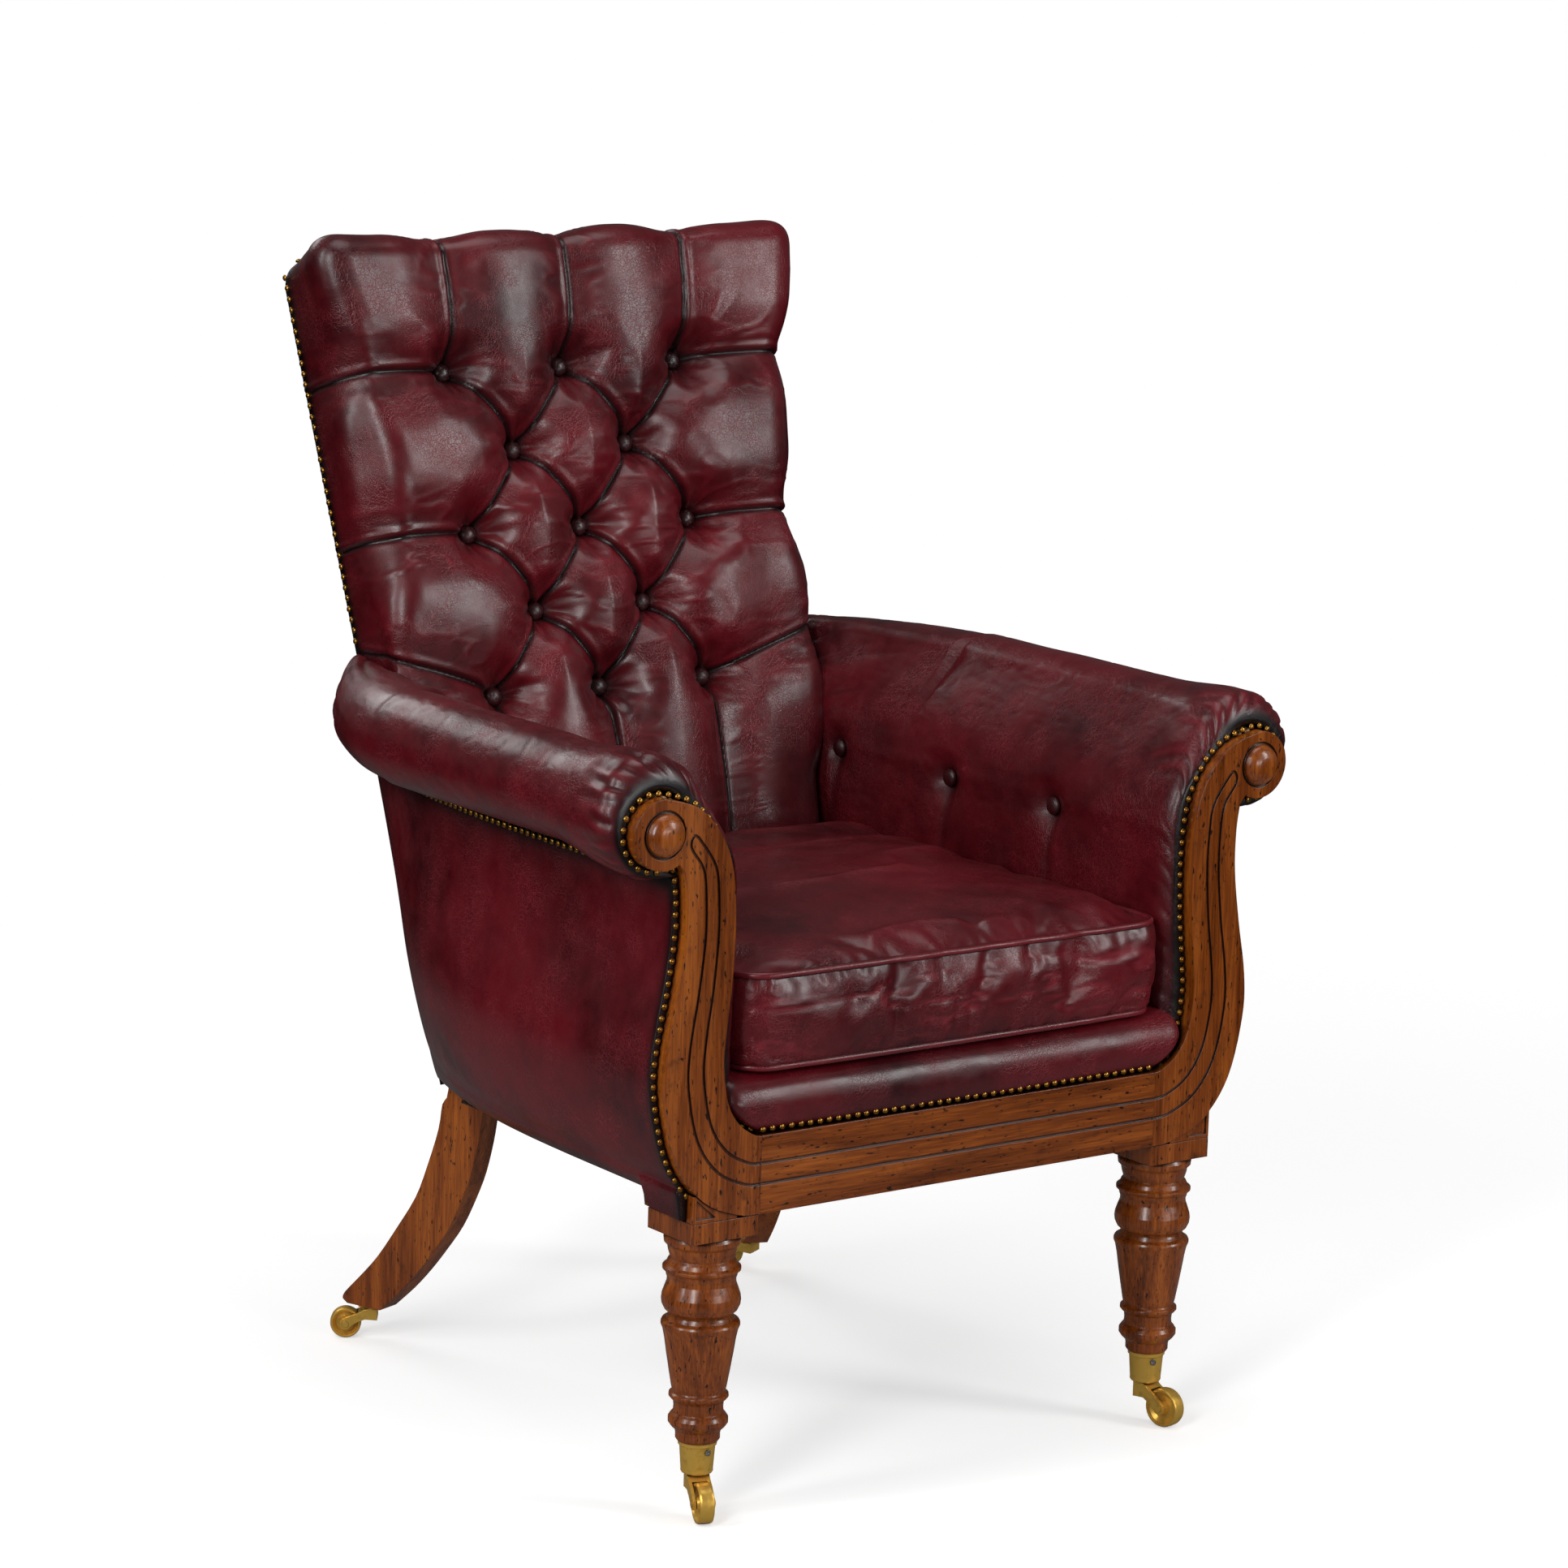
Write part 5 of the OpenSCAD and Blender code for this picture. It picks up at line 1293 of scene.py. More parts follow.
@dataclass
class SeatCushion:
    """The loose boxed cushion: crowned top, piping at both edges, worn creases on its boxing."""

    shop: Upholstery
    low: float = 372.5
    boxing: float = 80.0
    crown: float = 19.0
    front_y: float = 9.0
    length: float = 438.0
    half_front: float = 218.0
    half_rear: float = 208.5
    corner: float = 26.0
    piping_r: float = 3.0
    voxel_m: float = 0.0052
    pressure: float = 3.5
    frames: int = 18
    cap: float = 9.0

    def outline(self, count: int = 220) -> Array:
        """Returns the seam's outline, x and y, all round from the right rear corner."""
        y0, y1 = self.front_y, self.front_y + self.length
        c = self.corner
        corners = [
            (self.half_rear - c, y1 - c, 0), (-self.half_rear + c, y1 - c, 90),
            (-self.half_front + c, y0 + c, 180), (self.half_front - c, y0 + c, 270),
        ]
        runs = []
        for cx, cy, start in corners:
            angle = np.radians(np.linspace(start, start + 90, 9))
            runs.append(np.stack([cx + c * np.cos(angle), cy + c * np.sin(angle)], axis=1))
        loop = np.vstack(runs + [runs[0][:1]])
        loop = resample(loop, count + 1)[:-1]
        # the boxing's front bows out a little between its corners
        bow = 5.0 * np.clip(1 - (loop[:, 0] / self.half_front) ** 2, 0, 1) * ease((y0 + 30 - loop[:, 1]) / 30)
        loop[:, 1] -= bow
        return loop

    def shell(self) -> bpy.types.Object:
        """Returns the cushion's plain closed shape."""
        loop = self.outline()
        middle = np.array([0.0, self.front_y + self.length / 2])
        high = self.low + self.boxing

        def ring(z: float, inset: float, share: float) -> Array:
            """Returns a level ring, drawn in by an inset and to a share of the outline."""
            d = loop - middle
            u = d / np.linalg.norm(d, axis=1, keepdims=True)
            oval = u * [self.half_rear, self.length / 2]
            q = middle + mix(oval, d, share) * share - inset * u
            return np.column_stack([q, np.full(len(q), z)])

        under = ((0, 120), (0, 60), (0, 24), (0.5, 8), (3.5, 1.5))
        rings = [ring(self.low + rise, inset, 1) for rise, inset in under]
        for s in np.linspace(0.1, 0.9, 12):
            rings.append(ring(self.low + self.boxing * s, 1.5 - 2.0 * (1 - (2 * s - 1) ** 2), 1))
        rings.append(ring(high - 2.5, 1.5, 1))
        for s in (0.985, 0.95, 0.9, 0.82, 0.72, 0.6, 0.47, 0.33, 0.2, 0.08):
            rings.append(ring(high + self.crown * (1 - s**3), 0, s))
        points = np.stack(rings)
        rows, cols = points.shape[:2]
        faces = grid_faces(rows, cols, wrap=True)
        faces += [list(range(cols))[::-1], [(rows - 1) * cols + k for k in range(cols)]]
        return mesh_object("seat_cushion_leather", points, faces)

    def swell(self, piece: bpy.types.Object) -> None:
        """Stuffs the cushion: a cloth of its shape swells, held at its seams and where it lies.

        Args:
            piece: The closed shape, which takes the stuffed form.
        """
        view = bpy.context.view_layer
        before = np.empty(len(piece.data.vertices) * 3)
        piece.data.vertices.foreach_get("co", before)
        before = before.reshape(-1, 3)
        own = Place.from_row(before)
        high = self.low + self.boxing
        edge = self.edge_distance(own[:, :2])
        held = own[:, 2] < self.low + 3
        for z in (high, self.low):
            held = np.maximum(held, bell(np.hypot(edge, own[:, 2] - z) / 4.0))
        group = piece.vertex_groups.new(name="held")
        for level in range(1, 6):
            chosen = np.nonzero(np.round(held * 5) == level)[0]
            group.add(chosen.tolist(), level / 5, "REPLACE")
        cloth = piece.modifiers.new("cloth", "CLOTH")
        settings = cloth.settings
        settings.quality = 5
        settings.mass = 0.35
        settings.tension_stiffness = settings.compression_stiffness = 20
        settings.shear_stiffness = 8
        settings.bending_stiffness = 1.2
        settings.use_pressure = True
        settings.uniform_pressure_force = self.pressure
        settings.vertex_group_mass = "held"
        settings.shrink_min = -0.035
        settings.effector_weights.gravity = 0
        cloth.point_cache.frame_start = 1
        cloth.point_cache.frame_end = self.frames
        for frame in range(1, self.frames + 1):
            bpy.context.scene.frame_set(frame)
        view.update()
        self.apply(piece)
        bpy.context.scene.frame_set(1)
        after = np.empty(len(before) * 3)
        piece.data.vertices.foreach_get("co", after)
        move = after.reshape(-1, 3) - before
        far = np.linalg.norm(move, axis=1, keepdims=True)
        limit = self.cap * METRE
        move *= np.where(far > limit, limit / np.maximum(far, 1e-9), 1.0)
        piece.data.vertices.foreach_set("co", (before + move).reshape(-1))
        piece.data.update()

    @staticmethod
    def apply(piece: bpy.types.Object) -> None:
        """Turns a piece's modifiers into its mesh."""
        graph = bpy.context.evaluated_depsgraph_get()
        made = bpy.data.meshes.new_from_object(piece.evaluated_get(graph))
        piece.modifiers.clear()
        piece.data = made

    def edge_distance(self, xy: Array) -> Array:
        """Returns how far points lie from the seam's outline, as seen from above."""
        loop = self.outline()
        out = np.empty(len(xy))
        for k in range(0, len(xy), 4000):
            part = xy[k : k + 4000, None] - loop[None]
            out[k : k + 4000] = np.sqrt((part**2).sum(axis=2).min(axis=1))
        return out

    def crease(self, piece: bpy.types.Object) -> None:
        """Wrinkles the leather, with painted shade at its seams and towards the top's rear, worn lines on the
        boxing, and rubbed wear with painted highlight on the top's ridges.
        """
        divide = piece.modifiers.new("divide", "SUBSURF")
        divide.levels = divide.render_levels = 1
        self.apply(piece)
        mesh = piece.data
        count = len(mesh.vertices)
        points = np.empty(count * 3)
        normals = np.empty(count * 3, np.float32)
        mesh.vertices.foreach_get("co", points)
        mesh.vertex_normals.foreach_get("vector", normals)
        own = Place.from_row(points.reshape(-1, 3))
        normal = normals.reshape(-1, 3).astype(float)
        noise = self.shop.noise
        high = self.low + self.boxing
        edge = self.edge_distance(own[:, :2])
        on_top = ease((own[:, 2] - high + 4) / 8)
        on_front = ease((self.front_y + 26 - own[:, 1]) / 26) * (1 - on_top)
        seam = np.minimum(np.hypot(edge, own[:, 2] - high), np.hypot(edge, own[:, 2] - self.low))
        free = ease((seam - 3) / 22)
        wander = [noise.at(own + 91, 60.0), noise.at(own + 17, 60.0), np.zeros(count)]
        bent = own + 16 * np.stack(wander, axis=1)
        folds = noise.at(bent, (190.0, 70.0, 60.0))
        ridge = np.clip(1 - 3.0 * np.abs(folds), 0, 1)
        push = on_top * free * (3.4 * noise.at(own + 5, (150.0, 70.0, 60.0)) + 3.2 * ridge**2)
        lines = noise.at(bent + 50, (90.0, 40.0, 13.0), 2)
        full = 1.3 * noise.at(own, (44.0, 40.0, 24.0))
        push += on_front * free * (full - 1.4 * np.clip(1 - 5 * np.abs(lines), 0, 1))
        pucker = np.cos(own[:, 0] * 0.32 + 3 * noise.at(own, 30.0)) * bell((seam - 9) / 7)
        push += 0.35 * pucker * ease((420 - own[:, 1]) / 50)
        own += normal * push[:, None]
        mesh.vertices.foreach_set("co", Place.to_row(own).reshape(-1))
        # painted shade: at the seams, and on the top towards its rear under the back
        dark = 0.8 * bell(seam / 4.5) + 0.25 * on_top * ease((own[:, 1] - 250) / 150)
        # lighter: worn lines on the boxing, and rubbed wear with painted highlight on the top's ridges
        rubbed = on_front * free * np.clip(1 - 7 * np.abs(lines), 0, 1) + 0.25 * on_top * free * ridge**3
        values = np.clip(dark - 0.8 * rubbed * (1 - dark), -1, 1).astype(np.float32)
        layer = mesh.attributes.get("dark") or mesh.attributes.new("dark", "FLOAT", "POINT")
        layer.data.foreach_set("value", values)
        mesh.shade_smooth()
        mesh.update()

    def pipe(self, piece: bpy.types.Object) -> None:
        """Runs the piping round both seams, on the leather wherever the stuffing has left it."""
        tree = BVHTree.FromPolygons(
            [v.co for v in piece.data.vertices], [tuple(p.vertices) for p in piece.data.polygons]
        )
        loop = self.outline(300)
        middle = np.array([0.0, self.front_y + self.length / 2])
        for name, z in (("upper", self.low + self.boxing - 1.0), ("lower", self.low + 2.4)):
            path = []
            for x, y in loop:
                way = np.array([x, y]) - middle
                way /= np.linalg.norm(way)
                start = Place.to_row(np.array([x + way[0] * 60, y + way[1] * 60, z]))
                hit = tree.ray_cast(Vector(start), Vector((-way[0], -way[1], 0.0)))[0]
                spot = Place.from_row(np.array(hit)) if hit else np.array([x, y, z])
                path.append(spot + np.array([*way, 0]) * self.piping_r * 0.35)
            path = np.array(path)
            for _ in range(3):
                path = (np.roll(path, 1, axis=0) + 2 * path + np.roll(path, -1, axis=0)) / 4
            points, faces = tube(path, self.piping_r)
            under = np.abs(points[..., 2] - z - (0.5 if name == "upper" else 0))
            # painted highlight along the cord's middle, painted shade above and below it where it meets the
            # cushion
            dark = -0.45 + 1.2 * ease((under - 1.7) / 1.2)
            cord = mesh_object(f"seat_cushion_piping_{name}", points, faces, dark)
            self.shop.dress(cord, Body.CUSHION)

    def build(self) -> None:
        """Makes the cushion and its piping."""
        piece = self.shell()
        remesh = piece.modifiers.new("remesh", "REMESH")
        remesh.mode = "VOXEL"
        remesh.voxel_size = self.voxel_m
        self.apply(piece)
        self.swell(piece)
        self.crease(piece)
        self.shop.dress(piece, Body.CUSHION)
        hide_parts("seat_cushion")
        self.pipe(piece)


# Outer panels --------------------------------------------------------------------------------


@dataclass
class SidePanel:
    """The leather of an arm's outer side, from the seam under the roll to the foot, round to the back."""

    shop: Upholstery
    side: int
    label: str
    seam_z: float = SEAM_Z
    foot_z: float = 260.5
    leg_x: float = 238.0
    block_w: float = 64.0
    block_back: float = 66.0
    lift: float = 1.3
    flare: float = 4.6
    shares: tuple[float, ...] = (1, 0.9, 0.8, 0.68, 0.56, 0.44, 0.33, 0.23, 0.15, 0.09)
    beside_block: tuple[tuple[float, float], ...] = ((0.58, 0.37), (0.54, 0.19), (0.52, 0.02))
    under_rail: tuple[tuple[float, float], ...] = ((0.52, 0.34), (0.31, 0.14), (0.045, 0.03))
    rows: int = 110

    def section(self, y: Any) -> Array:
        """Returns the panel's run at a depth, x and z, from the seam down."""
        b = float(ease((np.min(y) - self.block_back - 0.3) / (self.block_w / 4)))
        z = mix(self.foot_z, self.seam_z, np.asarray(self.shares))
        upper = np.stack([FACING.outer_x(z) + self.lift, z], axis=1)
        foot = mix(np.asarray(self.beside_block), np.asarray(self.under_rail), b)
        foot = np.array([self.leg_x, FACING.rail_z]) + foot * self.block_w
        return resample(spline(np.vstack([upper, foot]), 8), self.rows)

    def stations(self) -> list[tuple[float, float]]:
        """Returns how far along each station is, and how far it stands out of the plain run there."""
        strip = [(0.0002, -self.lift - 2.5), (0.0001, -self.lift), (0.0, 3.0), (0.0006, 4.3)]
        strip.append((0.002, self.flare + 0.3))
        rest = [*np.linspace(0.007, 0.96, 150), *np.linspace(0.963, 1, 14)]
        return strip + [(t, self.flare * math.exp(-t * 8.5)) for t in rest]

    def build(self) -> None:
        """Makes the panel."""
        grid = []
        for t, out in self.stations():
            z = self.section(PANEL_FRONT)[:, 1]
            for _ in range(2):
                y = mix(PANEL_FRONT, BACK.rear_y(z), t)
                run = self.section(y)
                z = run[:, 1]
            grid.append(np.stack([panel_x(run[:, 0] + out, z, y), y, z], axis=1))
        points = np.stack(grid)
        skin = Skin(points, (1, 0, 0))
        skin.sign = 1.0 if skin.normals()[60, 30][0] > 0 else -1.0
        t = np.array([s[0] for s in self.stations()])[:, None]
        noise = self.shop.noise
        inside = ease((t - 0.02) / 0.1) * ease((1 - t) / 0.1)
        skin.push(0.7 * noise.at(points + 300 * self.side, (90.0, 170.0, 130.0)) * inside)
        low = run_lengths(points, axis=1)
        # painted shade: by the facing at the front, under the roll along the top, round the rear to the back
        # and down at the foot
        skin.paint_shade(0.95 * bell((points[..., 1] - PANEL_FRONT) / 7.0))
        skin.paint_shade(0.8 * bell(low / 11) + 0.3 * bell(low / 40))
        skin.paint_shade(0.55 * ease((t - 0.86) / 0.14))
        skin.paint_shade(0.5 * bell((points[..., 2] - self.foot_z - 1.5) / 14))
        skin.points[..., 0] *= self.side
        skin.sign *= self.side
        piece = self.shop.dress(skin.make(f"side_panel_leather_{self.label}"))
        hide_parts(f"outer_side_panel_{self.label}")

    @staticmethod
    def area(points: Array) -> float:
        """Returns a grid's area in square metres."""
        a = points[1:, 1:] - points[:-1, :-1]
        b = points[1:, :-1] - points[:-1, 1:]
        return float(np.linalg.norm(np.cross(a, b), axis=-1).sum() / 2 * METRE**2)


@dataclass
class RearPanel:
    """The plain leather of the outer back."""

    shop: Upholstery
    low_u: float = 12.5
    thickness: float = 2.5
    fullness: float = 2.0
    corner: float = 26.0

    def build(self) -> None:
        """Makes the panel."""
        u = np.linspace(self.low_u, BACK.top - 1, 150)[:, None]
        way = np.linspace(-1, 1, 110)[None, :]
        # the top corners are rounded off
        past = np.clip((u - BACK.top + self.corner) / self.corner, 0, 1)
        x = way * (BACK.half(u) - self.corner * (1 - np.sqrt(1 - past**2)))
        full = self.fullness * (1 - way**6) * (1 - ((2 * u - BACK.length) / BACK.length) ** 6)
        local = np.stack(np.broadcast_arrays(x, self.thickness / 2 - full, u), axis=-1)
        skin = Skin(BACK.placed(local), (0, 1, -0.3))
        skin.push(0.7 * self.shop.noise.at(skin.points, (110.0, 60.0, 150.0), 2) * (1 - way**8))
        edge = np.minimum((1 - np.abs(way)) * BACK.half(u), np.minimum(u - self.low_u, BACK.top - u))
        # painted shade along all the panel's edges
        skin.paint_shade(0.85 * bell(edge / 9))
        piece = self.shop.dress(skin.make("outer_back_leather"))
        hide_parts("outer_back_panel")
        SidePanel.area(skin.points)


# Nails ---------------------------------------------------------------------------------------


@dataclass
class NailRows:
    """The close brass nails along the facings, the rail, the seams under the rolls and the back."""

    shop: Upholstery
    material: bpy.types.Material
    pitch: float = 9.3
    head_r: float = 2.9
    head_h: float = 1.9
    off: float = 2.9
    seam_drop: float = 2.5
    block_x: float = 271.9
    block_z: float = 261.5
    rail_z: float = 326.6
    back_low_u: float = 410.0
    back_w: float = 5.2

    def row(self, name: str, path: Array, aims: Array) -> None:
        """Drives a row of nails.

        Args:
            name: The row's name.
            path: The line that the nails follow.
            aims: The way each point of the path faces, or one way for all.
        """
        count = max(int(run_lengths(path)[-1] / self.pitch), 1) + 1
        spots = resample(path, count)
        both = resample(np.hstack([path, np.broadcast_to(aims, path.shape)]), count)
        rng = np.random.default_rng(len(name) * 7 + count)
        spots = spots + rng.normal(0, 0.16, spots.shape)
        ways = both[:, 3:] + rng.normal(0, 0.05, spots.shape)
        angle = np.radians([0, 14, 32, 52, 72])
        profile = np.stack([self.head_r * np.cos(angle), self.head_h * np.sin(angle)], axis=1)
        profile = np.vstack([[self.head_r * 0.92, -0.6], profile])
        piece = turned_spots(name, spots, ways, profile, 12)
        self.shop.dress(piece, slot=Slot.BRASS, material=self.material)

    def facing_path(self) -> Array:
        """Returns the nails' line: up a facing's inner edge, round the scroll and down its outer edge."""
        inner = offset(FACING.inner(), self.off)
        r = FACING.scroll_r + self.off
        inner = inner[inner[:, 1] < FACING.scroll_z + r - 3]
        inner = inner[inner[:, 0] < FACING.scroll_x - 6]
        angle = np.radians(np.arange(84, -126, -6))
        head = np.stack([FACING.scroll_x + r * np.cos(angle), FACING.scroll_z + r * np.sin(angle)], axis=1)
        outer = offset(FACING.outer(), -self.off)[::-1]
        outer = outer[(outer[:, 1] < FACING.scroll_z - r - 3) & (outer[:, 1] > FACING.rail_z + 12)]
        start = np.array([[FACING.rail_half + 3, FACING.rail_z + FACING.rail_h + 3.4]])
        return resample(np.vstack([start, inner[3:], head, outer]), 400)

    def build(self) -> None:
        """Drives every row."""
        path = self.facing_path()
        y = FACING.thickness + 0.1
        for side, label in SIDES:
            line = np.column_stack([side * path[:, 0], np.full(len(path), y), path[:, 1]])
            self.row(f"nails_facing_{label}", line, np.array([0.0, -1.0, 0.0]))
            depth = np.linspace(30, 555, 80)
            z = SEAM_Z - self.seam_drop
            seam = panel_x(float(FACING.outer_x(SEAM_Z)) + 1.3, z, depth) + 1.2
            seam = np.column_stack([side * seam, depth, np.full(len(depth), z)])
            self.row(f"nails_under_roll_{label}", seam, np.array([side, 0.1, -0.12]))
            block = np.array([[side * self.block_x, depth, self.block_z] for depth in (17.0, 63.0)])
            self.row(f"nails_leg_block_{label}", block, np.array([side, -0.1, 0.1]))
            u = np.linspace(self.back_low_u, BACK.top - 14, 60)
            edge = np.stack([side * (BACK.half(u) + 0.4), np.full(len(u), self.back_w), u], axis=1)
            self.row(f"nails_back_{label}", BACK.placed(edge), np.array([side, 0.08, 0.0]))
        x = np.linspace(-202, 202, 80)
        rail = np.column_stack([x, 2.9 + 1.6 * (x / FACING.rail_half) ** 2, np.full(len(x), self.rail_z)])
        self.row("nails_rail", rail, np.array([0.0, -1.0, -0.12]))
        x = np.linspace(-BACK.half_top + 16, BACK.half_top - 16, 80)
        crown = np.stack([x, np.full(len(x), self.back_w), np.full(len(x), BACK.top + 0.6)], axis=1)
        self.row("nails_back_top", BACK.placed(crown), np.array([0.0, 0.3, 1.0]))


# Carried-over parts --------------------------------------------------------------------------


@dataclass
class Joinery:
    """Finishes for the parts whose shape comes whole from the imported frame."""

    nodes: dict[str, bpy.types.Object]
    upright: tuple[str, ...] = ("facing", "scroll_boss", "spandrel", "front_leg", "rear_leg")
    hidden: tuple[str, ...] = (
        "back_rail", "corner_block", "back_upright", "back_top_rail", "back_lower_rail", "arm_stump",
        "arm_rail",
    )
    post_y: float = 386.0
    post_t: float = 24.0
    post_low: float = 312.3
    post_top: float = 586.0
    post_in: float = 7.0
    post_back: float = 5.0
    cut: tuple[str, ...] = ("side_rail", "rear_corner_block")

    @staticmethod
    def stand_in(piece: bpy.types.Object, beech: bpy.types.Material, node: str) -> None:
        """Dresses a hidden beech piece that stands in for a node."""
        piece.data.shade_flat()
        piece.data.materials.append(beech)
        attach(piece, Body.FRAME.value)
        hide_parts(node)

    def dress(self) -> None:
        """Assigns each node its material."""
        wood_up = PolishedMahogany(GrainRun.UP).material()
        wood_across = PolishedMahogany(GrainRun.ACROSS).material()
        beech = SawnBeech().material()
        brass = CASTOR_BRASS.material()
        steel = SCREW_STEEL.material()
        jute = JUTE_WEBBING.material()
        cloth = DUST_CLOTH.material()
        self.rear_posts(beech)
        self.rails(beech)
        for name, node in self.nodes.items():
            if name.startswith(("arm_rear_post", *self.cut)):
                continue
            if name == "front_rail":
                chosen = wood_across
            elif name.startswith(self.upright):
                chosen = wood_up
            elif any(word in name for word in self.hidden):
                chosen = beech
            elif "screws" in name:
                chosen = steel
            elif name.startswith("castor"):
                chosen = brass
            elif "webbing" in name:
                chosen = jute
            else:
                chosen = cloth
            if node.material_slots:
                for place in node.material_slots:
                    place.material = chosen
            else:
                node.data.materials.append(chosen)
        LOG.info("dressed %d carried-over nodes", len(self.nodes))

    def rear_posts(self, beech: bpy.types.Material) -> None:
        """Makes the arms' rear posts, cut to the side panels as they turn in to the back."""
        z = np.linspace(self.post_low, self.post_top, 60)
        rear = self.post_y + self.post_t
        inner = FACING.inner_x(z) + self.post_in
        front_x = FACING.outer_x(z)
        outer = np.minimum(front_x, panel_x(front_x, np.minimum(z, SEAM_Z), rear)) - self.post_back
        outer = np.maximum(outer, inner + self.post_in)
        for side, label in SIDES:
            corners = [(inner, self.post_y), (outer, self.post_y), (outer, rear), (inner, rear)]
            edges = [np.stack([side * x, np.full(len(z), y), z], axis=1) for x, y in corners]
            points = np.stack(edges, axis=1)
            faces = grid_faces(len(z), 4, wrap=True) + [[0, 1, 2, 3], [4 * len(z) - k for k in (1, 2, 3, 4)]]
            piece = mesh_object(f"arm_rear_post_beech_{label}", points, [f[::-side] for f in faces])
            self.stand_in(piece, beech, f"arm_rear_post_{label}")

    def rails(self, beech: bpy.types.Material) -> None:
        """Makes the side rails and rear corner blocks, cut like the posts where the side panels turn in."""
        for kind in self.cut:
            for side, label in SIDES:
                node = self.nodes[f"{kind}_{label}"]
                corners = [node.matrix_world @ vertex.co for vertex in node.data.vertices]
                points = Place.from_row(np.array(corners))
                reach = panel_x(FACING.outer_x(points[:, 2]), points[:, 2], points[:, 1]) - self.post_back
                points[:, 0] = side * np.minimum(np.abs(points[:, 0]), reach)
                faces = [list(polygon.vertices) for polygon in node.data.polygons]
                piece = mesh_object(f"{kind}_beech_{label}", points, faces)
                self.stand_in(piece, beech, node.name)


# Studio --------------------------------------------------------------------------------------


@dataclass(frozen=True)
class Softbox:
    """A rectangular softbox: where it hangs, what it faces, its size and its light, in metres and watts."""

    name: str
    place: tuple[float, float, float]
    target: tuple[float, float, float]
    width: float
    height: float
    power: float

    def hang(self) -> None:
        """Makes the lamp."""
        data = bpy.data.lights.new(self.name, "AREA")
        data.shape = "RECTANGLE"
        data.size, data.size_y = self.width, self.height
        data.energy = self.power
        lamp = bpy.data.objects.new(self.name, data)
        lamp.location = self.place
        lamp.rotation_euler = (Vector(self.target) - Vector(self.place)).to_track_quat("-Z", "Y").to_euler()
        bpy.context.scene.collection.objects.link(lamp)


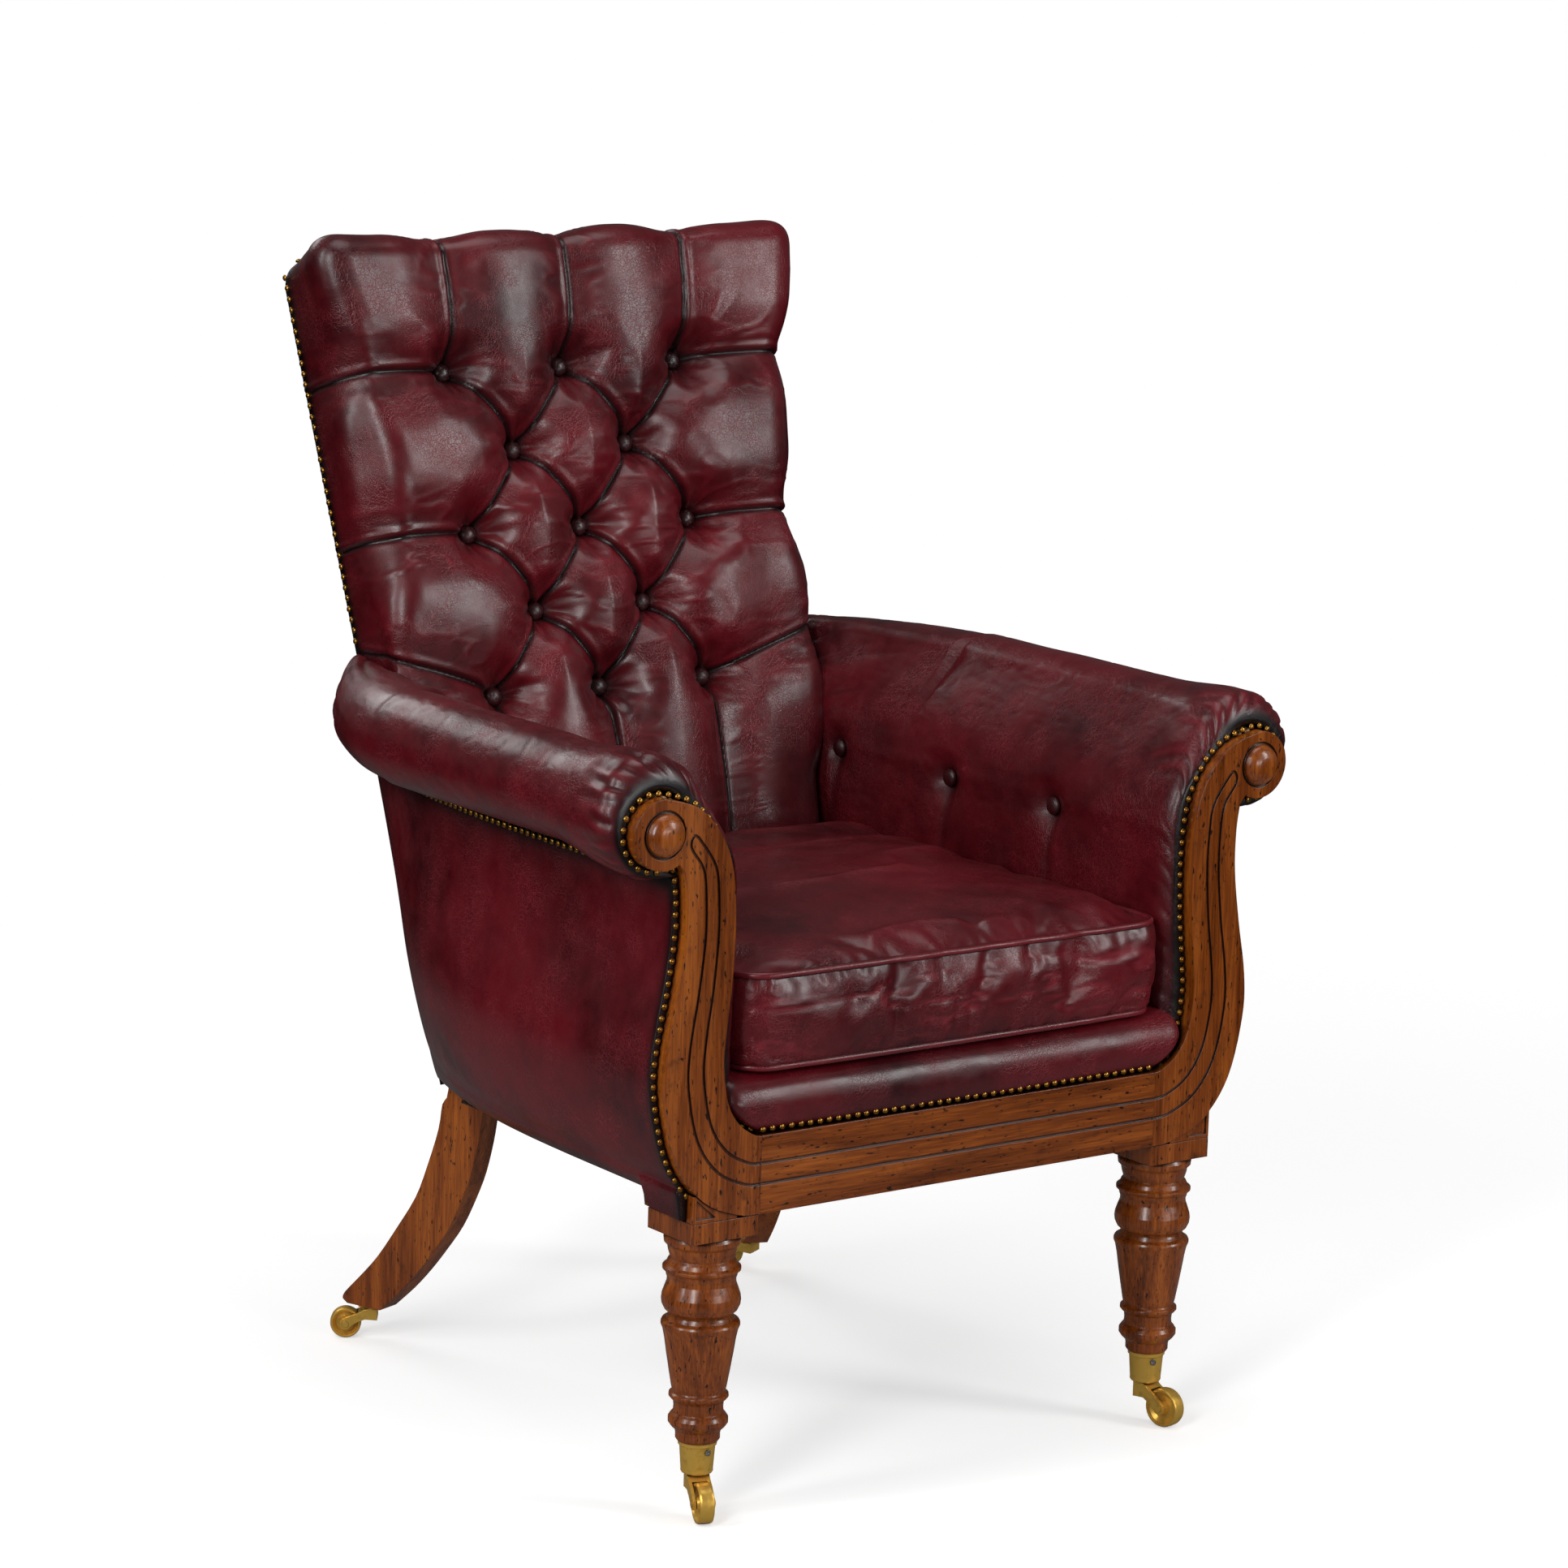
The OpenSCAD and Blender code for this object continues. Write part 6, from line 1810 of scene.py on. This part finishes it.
@dataclass
class Studio:
    """Camera at the photograph's angle, a white floor that keeps the shadow, and softboxes."""

    azimuth: float = math.radians(-36.31)
    elevation: float = math.radians(11.19)
    roll: float = math.radians(1.62)
    lens: float = 121.2
    stand: tuple[float, float, float] = (-2631.8, -3317.3, 1424.9)
    floor_half_m: float = 12.0
    shadow_run_m: tuple[float, float] = (0.75, 1.9)
    white: str = "#ffffff"
    paper: str = "#e8e8e8"
    paper_mirrored: str = "#767676"
    lift: float = 0.5
    softboxes: tuple[Softbox, ...] = (
        Softbox("softbox_left", (-2.3, -1.5, 1.7), (0.0, 0.0, 0.6), 0.5, 1.7, 30.0),
        Softbox("softbox_left_far", (-2.2, -0.1, 1.6), (0.0, 0.0, 0.6), 0.3, 1.6, 14.0),
        Softbox("softbox_right", (1.9, -2.6, 1.9), (0.0, 0.0, 0.5), 0.7, 1.4, 30.0),
        Softbox("softbox_front", (0.5, -3.0, 0.8), (0.0, 0.0, 0.4), 1.2, 0.5, 11.0),
        Softbox("softbox_behind", (-0.4, 2.7, 2.2), (0.0, 0.0, 0.55), 1.8, 0.8, 17.0),
        Softbox("softbox_top", (0.1, -0.2, 2.9), (0.0, 0.0, 0.5), 1.6, 1.4, 15.0),
    )

    def camera(self) -> None:
        """Sets the camera up."""
        a, e, r = self.azimuth, self.elevation, self.roll
        back = Vector((math.sin(a) * math.cos(e), -math.cos(a) * math.cos(e), math.sin(e)))
        right = Vector((math.cos(a), math.sin(a), 0.0))
        up = back.cross(right)
        across = math.cos(r) * right + math.sin(r) * up
        over = -math.sin(r) * right + math.cos(r) * up
        data = bpy.data.cameras.new("camera")
        data.lens = self.lens
        data.clip_end = 60.0
        eye = bpy.data.objects.new("camera", data)
        turn = Matrix((across, over, back)).transposed().to_4x4()
        eye.matrix_world = Matrix.Translation(Vector(Place.to_row(np.array(self.stand)))) @ turn
        bpy.context.scene.collection.objects.link(eye)
        bpy.context.scene.camera = eye

    def floor(self) -> None:
        """Lays the floor: white where the light falls on it whole, with the object's shadow left on it."""
        h = self.floor_half_m
        mesh = bpy.data.meshes.new("floor")
        mesh.from_pydata([(-h, -h, 0), (h, -h, 0), (h, h, 0), (-h, h, 0)], [], [[0, 1, 2, 3]])
        floor = bpy.data.objects.new("floor", mesh)
        bpy.context.scene.collection.objects.link(floor)
        material, s = new_material("floor_paper_matt")
        away = s.add("VectorMath", {0: s.place()}, operation="LENGTH").outputs["Value"]
        near_m, far_m = self.shadow_run_m
        span = {"Value": away, "From Min": near_m, "From Max": far_m}
        far = s.add("MapRange", span, interpolation_type="SMOOTHSTEP").outputs[0]
        seen = s.add("LightPath").outputs["Is Camera Ray"]
        # the paper is seen darker in reflections, as a floor that no lamp is aimed at
        mirrored = s.add("LightPath").outputs["Is Glossy Ray"]
        paper = s.add("BsdfDiffuse", {"Color": s.blend(mirrored, self.paper, self.paper_mirrored)}).outputs[0]
        glow = s.add("Emission", {"Color": linear(self.white), "Strength": seen}).outputs[0]
        faint = s.math("MULTIPLY", seen, self.lift)
        lifted = s.add("Emission", {"Color": linear(self.white), "Strength": faint}).outputs[0]
        near = s.add("AddShader", {0: paper, 1: lifted}).outputs[0]
        surface = s.add("MixShader", {0: far, 1: near, 2: glow}).outputs[0]
        s.add("OutputMaterial", {"Surface": surface})
        mesh.materials.append(material)

    def world(self) -> None:
        """Sets the surroundings: white to the camera, grey to the object."""
        world = bpy.data.worlds.new("studio")
        bpy.context.scene.world = world
        s = Shader(world)
        path = s.add("LightPath").outputs
        white = s.math("MAXIMUM", path["Is Camera Ray"], path["Is Transmission Ray"])
        share = s.math("ADD", white, s.math("MULTIPLY", path["Is Glossy Ray"], -0.19))
        # 1 to the camera, 0.22 to matt surfaces, about 0.07 in reflections
        strength = s.math("MULTIPLY_ADD", share, 0.78, 0.22)
        glow = s.add("Background", {"Color": linear(self.white), "Strength": strength})
        s.add("OutputWorld", {"Surface": glow.outputs[0]})

    def build(self) -> None:
        """Sets the studio up."""
        self.camera()
        self.floor()
        self.world()
        for softbox in self.softboxes:
            softbox.hang()
        bpy.context.scene.view_settings.view_transform = "Standard"
        LOG.info("studio: %d softboxes", len(self.softboxes))


def main() -> None:
    """Builds the chair's looks in order."""
    logging.basicConfig(level=logging.INFO, format="%(name)s: %(message)s")
    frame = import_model()
    Place.read()
    Studio().build()
    Joinery(frame["nodes"]).dress()
    shop = Upholstery(OxbloodLeather().material(), Noise(11))
    ButtonedBack(shop).build()
    for side, label in SIDES:
        PaddedArm(shop, side, label, seed=20 + side).build()
        SidePanel(shop, side, label).build()
    FrontRoll(shop).build()
    SeatCushion(shop).build()
    RearPanel(shop).build()
    NailRows(shop, NAIL_BRASS.material()).build()
    bpy.context.view_layer.update()


if __name__ == "__main__":
    main()
